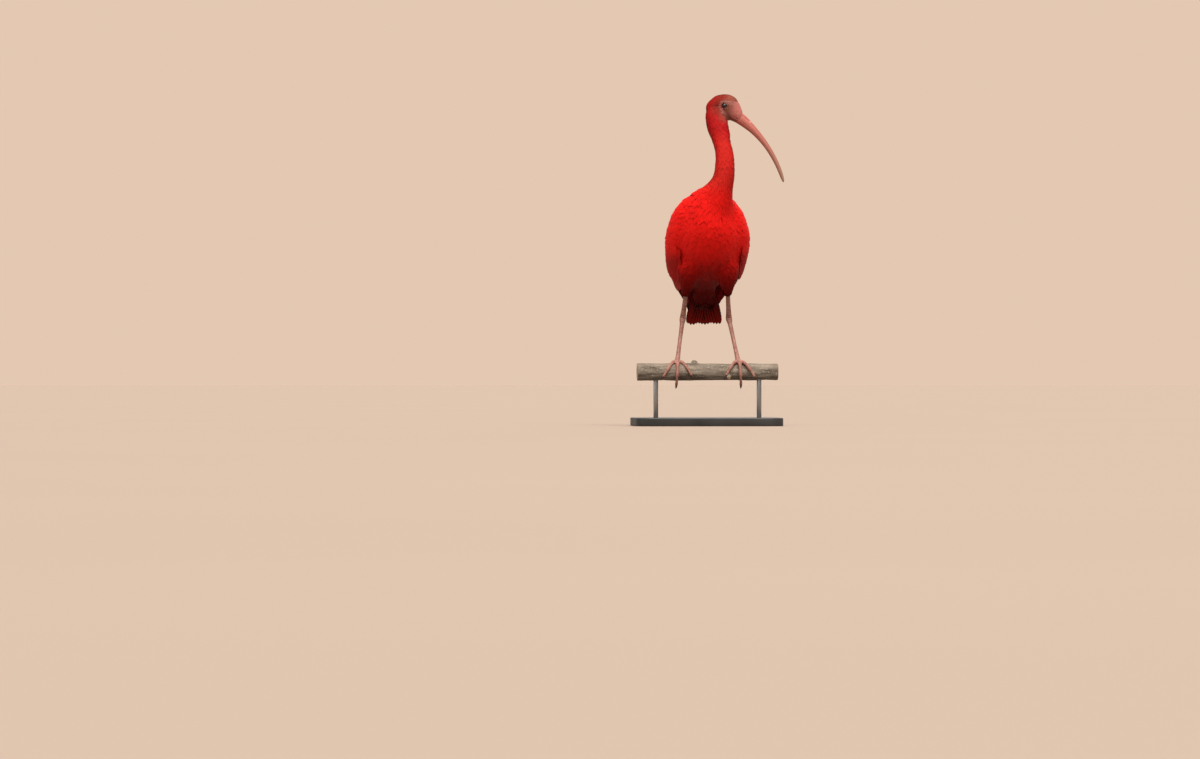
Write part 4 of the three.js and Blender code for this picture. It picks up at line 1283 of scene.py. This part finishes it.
def coverletFeathers(label, side):
    # the small rounded feathers over the shoulder and the front of the wing, row after row like tiles
    vane = vanes["body"]
    across, along, level = vane["across"] * -side, vane["along"], vane["level"]
    points, colours = [], []
    for row in range(coverlets["topRows"]):
        root = coverlets["front"] - coverlets["step"] * row
        pitch = shareOf(coverlets["spacing"], root - 8.0, 0.5)
        for spot in np.arange(0.09 + pitch * (row % 2) / 2, 1.0, pitch):
            # the rows reach further back towards the bird's back
            if row > between(coverlets["lowRows"], coverlets["topRows"], ease(0.45, 0.85, spot)):
                continue
            back = row / coverlets["topRows"]
            length = between(*coverlets["length"], back) * draw.normal(1, 0.07)
            width = between(*coverlets["width"], back)
            start = root + draw.normal(0, 0.8)
            middle = spot + draw.normal(0, 0.12) * pitch - lowered[side] * ease(0.5, 0.1, spot)
            place = start - length * along
            half = shareOf(width / 2 * np.ones_like(place), place, middle)
            turn = draw.normal(0, 0.05) * along * length * half / (width / 2)
            buried = 3.0 * ease(-2, 14, root) * (1 - along) + coverlets["rise"] * (1 - along) ** 1.4
            high = sectionAt(coverletHeights, place)[0] - buried - 0.6 * across ** 2 + 0.28 * level
            high = high + draw.normal(0, 0.15)
            points.append(wingSpace(side, place, middle + across * half + turn, high, 0.3))
            colours.append(wingTone(points[-1], along, 0.06))
    points = np.array(points)
    middles = points.mean(1)
    flat = np.zeros(len(middles))
    outward = unit(middles - bodyPoint((middles - bodyCentre) @ bodyForward, flat, flat))
    facing = outward[:, None] * np.ones_like(points)
    joinTiers(f"wing_{label}Coverlets", vane, points, colours, finishes["bodyFeather"], [f"wing_{label}"],
              facing, wingForm["softness"])


for label, side in sides.items():
    wingFeathers(label, side)
    coverletFeathers(label, side)

# The tail's twelve feathers fan out, the middle pair uppermost
# shadeTint gives the painted shade on the tail its maroon hue
tailForm = dict(count=12, ranks=3.5, halfWidth=6.6, tipJitter=1.6, shadeTint=(1, 3.2, 2.6))


def tailFeathers():
    vane, fan = vanes["flight"], tailFan
    across, along, level = vane["across"], vane["along"], vane["level"]
    points, colours = [], []
    for out in np.linspace(-1, 1, tailForm["count"]):
        side = np.sign(out)
        reach = fan["rootAlong"] - fan["tipAlong"] - fan["rounding"] * out * out
        reach = reach + draw.normal(0, tailForm["tipJitter"])
        middle = out * between(fan["rootHalfWidth"], fan["tipHalfWidth"], along)
        lift = between(fan["rootLift"], fan["tipLift"], along) - fan["step"] * abs(out) * tailForm["ranks"]
        drop = (across * side + 1) * 0.5 * fan["step"] * 0.9 - (side < 0) * 0.25
        edge = middle + fan["swing"] * along + across * tailForm["halfWidth"]
        high = lift - drop + 0.4 + 0.3 * (1 - np.abs(vane["side"])) + 0.4 * level
        points.append(bodyPoint(fan["rootAlong"] - reach * along, edge, high))
        # painted shade: the tail is dark maroon, deepest at the root under the body and lighter towards the
        # tips
        tailShade = (0.13 + 0.17 * ease(0.55, 1.0, along))[:, None]
        colours.append(tones["scarlet"] * draw.normal(1, 0.07) * tailShade * tailForm["shadeTint"])
    joinTiers("tailFeathers", vane, points, colours, finishes["flightFeather"], ["tail"])


tailFeathers()

# The bill is two horns, each with its own lip, along one curve
billForm = dict(start=(31, -9.6), startAngle=math.radians(11.2), turn=math.radians(38.5), length=135,
                hidden=0.03, dome=0.72, mouthDrop=0.22, gap=0.35, lip=0.12)
grooveForm = dict(depth=0.13, turn=49, breadth=7)
billSections = [
    # share of the length, half height, half width
    [0, 9.9, 7.7], [0.1, 8.6, 6.4], [0.25, 6.5, 5], [0.45, 4.9, 4.1], [0.7, 3.9, 3.5], [0.9, 3.1, 3.0],
    [1, 1.7, 1.8],
]
nostrilForm = dict(share=0.1, reach=0.042, turn=62, spread=8, depth=1.5)


def billPlaces(isUpper):
    way = 1 if isUpper else -1
    startAngle = billForm["startAngle"]
    radius = billForm["length"] / billForm["turn"]

    def placeAt(turn, share):
        place = between(-billForm["hidden"], 1, share)
        angle = startAngle + billForm["turn"] * place
        forward = billForm["start"][0] + radius * (np.sin(angle) - math.sin(startAngle))
        above = billForm["start"][1] - radius * (math.cos(startAngle) - np.cos(angle))
        upward = np.sin(angle)[:, None] * headAhead + np.cos(angle)[:, None] * headUp
        halfHeight, halfWidth = sectionAt(billSections, np.clip(place, 0, 1))
        tip = np.sqrt(np.clip(1 - ease(0.965, 1.0, place) ** 2 * 0.98, 0, 1))
        closing = tip * ease(-0.0301, -0.026, place)
        mouth = -billForm["mouthDrop"] * halfHeight + way * 0.5 * billForm["gap"]
        height = way * halfHeight - mouth
        dome = turn < billForm["dome"]
        arc = np.where(dome, turn / billForm["dome"], (1 - turn) / (1 - billForm["dome"])) * 180
        wide = np.cos(np.radians(arc))
        tall = np.where(dome, np.sin(np.radians(arc)), 0)
        if isUpper:
            fold = np.minimum(arc, 180 - arc)
            fade = ease(0.0, 0.03, place) * ease(0.92, 0.6, place)
            groove = 1 - grooveForm["depth"] * bell(fold, grooveForm["turn"], grooveForm["breadth"]) * fade
            slit = np.exp(-((place - nostrilForm["share"]) / nostrilForm["reach"]) ** 4)
            slit = slit * bell(fold, nostrilForm["turn"], nostrilForm["spread"])
            groove = groove - slit * nostrilForm["depth"] / np.maximum(halfWidth, 1)
            wide, tall = np.where(dome, wide * groove, wide), np.where(dome, tall * groove, tall)
        lip = np.where(dome, 0, way * billForm["lip"] * (1 - wide ** 2))
        return (headPoint(forward, wide * halfWidth * closing, above)
                + upward * (mouth + (tall + lip) * height * closing)[:, None])

    return placeAt


for name, isUpper in (("bill_upper", True), ("bill_lower", False)):
    mesh = meshOf(sleeve(72, 150, billPlaces(isUpper)), name + "Horn")
    addPiece(name + "Horn", mesh, finishes["bill"], [name])
print("bill made")


def makeEye(label, side):
    centre = headPoint(eyeForm["ahead"], side * eyeForm["side"], eyeForm["up"])
    bm = bmesh.new()
    bmesh.ops.create_uvsphere(bm, u_segments=40, v_segments=28, radius=eyeForm["radius"] * mm)
    placeShape(bm, centre, headLeft * side)
    mesh = meshOf(bm, f"eye_{label}Ball")
    away = unit(placesOf(mesh) - centre) @ (headLeft * side)
    setMask(mesh, "ring", np.arccos(np.clip(away, -1, 1)))
    addPiece(f"eye_{label}Ball", mesh, finishes["eye"], [f"eye_{label}"])


for label, side in sides.items():
    makeEye(label, side)
print("eyes made")

# Bare legs and feet: each leg and its toes in one skin, with claws of their own
legForm = dict(joint=4.9, ball=5.7, voxel=0.75, relax=4)
toeForm = dict(gripEnd=math.radians(78), looseReach=30, taper=0.38, swell=0.4)
toes = {
    # heading away from straight ahead towards the outside, length, radius at the root, joints
    "middle": (3, 56, 3.9, 3), "inner": (-30, 44, 3.5, 3), "outer": (32, 48, 3.6, 3),
    "hind": (176, 27, 3.3, 1),
}
# how the plates run: round the leg, along it, how far apart the runs lie, and how high the plates stand
plateForm = dict(round=1.1, along=0.75, apart=7.0, height=0.10, pitch=2.1)
spotsPerRun = 90
ankleHeight = perch["axisHeight"] + perch["radius"] + legForm["joint"] - 1.6


def toeLine(side, heading, length, radius):
    reach = perch["radius"] + radius * 0.86
    outward = math.sin(math.radians(heading)) * side
    onward = math.cos(math.radians(heading))
    start = math.asin((perch["axisY"] - footJoint["y"]) / reach)

    def placeAt(travel):
        wrap = np.clip(start + travel * onward / reach, -toeForm["gripEnd"], toeForm["gripEnd"])
        rest = travel * onward - (wrap - start) * reach
        turn = wrap + rest / (2 * toeForm["looseReach"])
        return np.stack([
            legShift + side * footJoint["side"] + outward * travel,
            perch["axisY"] - np.sin(wrap) * reach - np.cos(turn) * rest,
            perch["axisHeight"] + np.cos(wrap) * reach - np.sin(turn) * rest,
        ], -1)

    return placeAt


def plateMap(places, runs):
    # each point's distance along its run and turn round it
    spots = []
    for run in runs:
        steps = np.linspace(0, len(run) - 1, spotsPerRun)
        spots.append(np.stack([np.interp(steps, np.arange(len(run)), column) for column in run.T], -1))
    spots = np.concatenate(spots)
    tree = treeOf(spots)
    nearest = np.array([tree.find(point)[1] for point in places])
    following = np.clip(nearest + 1, 0, len(spots) - 1)
    way = unit(spots[following] - spots[nearest] + 1e-6)
    out = places - spots[nearest]
    length = nearest % spotsPerRun * 0.9 + (out * way).sum(1)
    sideways = unit(np.cross(way, np.array([0, -1, 0.3])))
    turn = np.arctan2((out * sideways).sum(1), (out * np.cross(sideways, way)).sum(1))
    return turn, length, nearest // spotsPerRun


def makeLeg(label, side):
    top, bend = legPoint(side, knee), legPoint(side, hock)
    foot = legPoint(side, footJoint, ankleHeight)
    line = [between(top, bend, share) for share in (0.5, 0.62, 0.7, 0.86, 0.95, 1)]
    line += [between(bend, foot, share) for share in (0.06, 0.14, 0.4, 0.7, 0.88, 1)]
    radii = [3.9, 3.9, 3.9, 4.2, 4.9, 5.4, 5.1, 4.0, 3.5, 3.5, 4.0, 4.9]
    parts = [sleeve(24, 90, tubePlaces(line, radii))]
    runs = [np.array(line)]
    claws = []
    for heading, length, radius, joints in toes.values():
        placeAt = toeLine(side, heading, length, radius)
        steps = np.linspace(-1, length, 15)
        share = np.clip(steps / length, 0, 1)
        swell = toeForm["swell"] * np.cos(2 * np.pi * joints * share)
        girth = radius * (1 - toeForm["taper"] * share) + swell
        parts.append(sleeve(18, 44, tubePlaces(placeAt(steps), girth, 0.94)))
        runs.append(placeAt(steps))
        hook = np.linspace(length - 3, length + 8.5, 9)
        thickness = np.interp(hook, [length - 3, length + 3.5, length + 8.5], [1.9, 1.5, 0.3])
        claws.append(sleeve(14, 26, tubePlaces(placeAt(hook), thickness, 1.15)))
    ball = bmesh.new()
    bmesh.ops.create_uvsphere(ball, u_segments=24, v_segments=16, radius=legForm["ball"] * mm)
    placeShape(ball, foot)
    mesh = remeshed(gathered([*parts, ball]), legForm["voxel"])
    keepLargest(mesh)
    places = relaxed(placesOf(mesh), edgesOf(mesh), legForm["relax"])
    turn, length, run = plateMap(places, runs)
    bulge = plateForm["height"] * np.sin(length * plateForm["pitch"]) * ease(1.9, 0.6, np.abs(turn))
    setPlaces(mesh, places)
    setPlaces(mesh, places + normalsOf(mesh) * bulge[:, None])
    follow = np.stack([turn * plateForm["round"], length * plateForm["along"], run * plateForm["apart"]], -1)
    layer = mesh.attributes.new("scute", "FLOAT_VECTOR", "POINT")
    layer.data.foreach_set("vector", follow.astype(np.float32).ravel())
    addPiece(f"leg_{label}Skin", mesh, finishes["leg"], [f"leg_{label}", f"foot_{label}"])
    clawMesh = meshOf(gathered(claws), f"claws_{label}")
    addPiece(f"claws_{label}", clawMesh, finishes["claw"], [f"foot_{label}"])


for label, side in sides.items():
    makeLeg(label, side)
print("legs made")

# The stand: a short length of branch on two rods over a flat base
barkForm = dict(voxel=1.25, relax=2, ridge=0.7, knots=0.5, still=0.3)
twigs = [(-26, 60, 5), (30, -150, 4.2)]  # place along the branch, direction round it, radius


def branchPlaces(turn, share):
    count = 12
    half = perch["halfLength"]
    places = np.linspace(-half, half, count)
    radii = perch["radius"] + 0.5 * np.sin(np.arange(count) * 2.3) + (places < 0) * 0.6
    x = between(-half, half, np.clip((share - 0.02) / 0.96, 0, 1))
    closing = ease(0.0, 0.02, share) * ease(1.0, 0.98, share)
    radius = sectionAt(np.column_stack([places, radii]), x)[0] * closing
    angle = 2 * np.pi * turn
    return np.stack([x, perch["axisY"] + 1.6 * np.sin(x / 46) + np.cos(angle) * radius,
                     perch["axisHeight"] + np.sin(angle) * radius], -1)


def makeBranch():
    parts = [sleeve(56, 100, branchPlaces)]
    ends = []
    for x, angle, radius in twigs:
        turn = math.radians(angle)
        out = unit(np.array([0.25, math.cos(turn), math.sin(turn)]))
        root = np.array([x, perch["axisY"], perch["axisHeight"]]) + out * (perch["radius"] - 5)
        stub = bmesh.new()
        bmesh.ops.create_cone(stub, cap_ends=True, segments=28, radius1=(radius + 1.8) * mm,
                              radius2=radius * mm, depth=13 * mm)
        placeShape(stub, root + out * 6, out)
        parts.append(stub)
        ends.append((root + out * 12, out))
    mesh = remeshed(gathered(parts), barkForm["voxel"])
    keepLargest(mesh)
    places = relaxed(placesOf(mesh), edgesOf(mesh), barkForm["relax"])
    setPlaces(mesh, places)
    normals = normalsOf(mesh)
    cut = (np.abs(places[:, 0]) > perch["halfLength"] - 1.5) & (np.abs(normals[:, 0]) > 0.75)
    for tip, out in ends:
        cut |= (np.linalg.norm(places - tip, axis=1) < 6.5) & (normals @ out > 0.8)
    ridges = np.array([
        noise.fractal(Vector((x * 0.035, y * 0.22, z * 0.22)), 0.9, 2.1, 4) * barkForm["ridge"]
        + noise.noise(Vector((x * 0.02, y * 0.05, z * 0.05))) * barkForm["knots"]
        for x, y, z in places
    ])
    # the bark lies still under the toes and at the sawn ends
    setPlaces(mesh, places + normals * (np.minimum(ridges, barkForm["still"]) * np.where(cut, 0, 1))[:, None])
    setMask(mesh, "cut", relaxed(cut.astype(float), edgesOf(mesh), 1)[:, 0])
    addPiece("branchBark", mesh, finishes["bark"], ["stand_branch"])


def makeRod(label, side):
    bm = bmesh.new()
    length = perch["axisHeight"] - base["thickness"]
    bmesh.ops.create_cone(bm, cap_ends=True, segments=48, radius1=rod["radius"] * mm,
                          radius2=rod["radius"] * mm, depth=length * mm)
    rims = [edge for edge in bm.edges if len({round(vert.co.z, 6) for vert in edge.verts}) == 1]
    bmesh.ops.bevel(bm, geom=rims, offset=0.5 * mm, offset_type="OFFSET", affect="EDGES", segments=2,
                    profile=0.5, material=-1)
    placeShape(bm, (side * rod["spread"], perch["axisY"], base["thickness"] + 0.1 + length / 2))
    piece = addPiece(f"rod_{label}Steel", meshOf(bm, f"rod_{label}Steel"), finishes["steel"],
                     [f"stand_rod_{label}"])
    piece.data.set_sharp_from_angle(angle=math.radians(40))


def makeBase():
    bm = bmesh.new()
    bmesh.ops.create_cube(bm, size=1)
    bmesh.ops.scale(bm, verts=bm.verts, vec=Vector((base["length"], base["depth"], base["thickness"])) * mm)
    half = base["thickness"] / 2 * mm
    slight = 1e-6  # metres, under which two heights are the same
    upright = [edge for edge in bm.edges if abs(edge.verts[0].co.z - edge.verts[1].co.z) > half]
    bmesh.ops.bevel(bm, geom=upright, offset=base["corner"] * mm, offset_type="OFFSET", affect="EDGES",
                    segments=14, profile=0.5, material=-1)
    rim = [edge for edge in bm.edges if all(abs(abs(vert.co.z) - half) < slight for vert in edge.verts)
           and abs(edge.verts[0].co.z - edge.verts[1].co.z) < slight]
    bmesh.ops.bevel(bm, geom=rim, offset=base["bevel"] * mm, offset_type="OFFSET", affect="EDGES", segments=4,
                    profile=0.5, material=-1)
    placeShape(bm, (0, base["centreY"], base["thickness"] / 2))
    piece = addPiece("basePaint", meshOf(bm, "basePaint"), finishes["paint"], ["stand_base"])
    piece.data.set_sharp_from_angle(angle=math.radians(35))


makeBranch()
for label, side in sides.items():
    makeRod(label, side)
makeBase()
print("stand made")
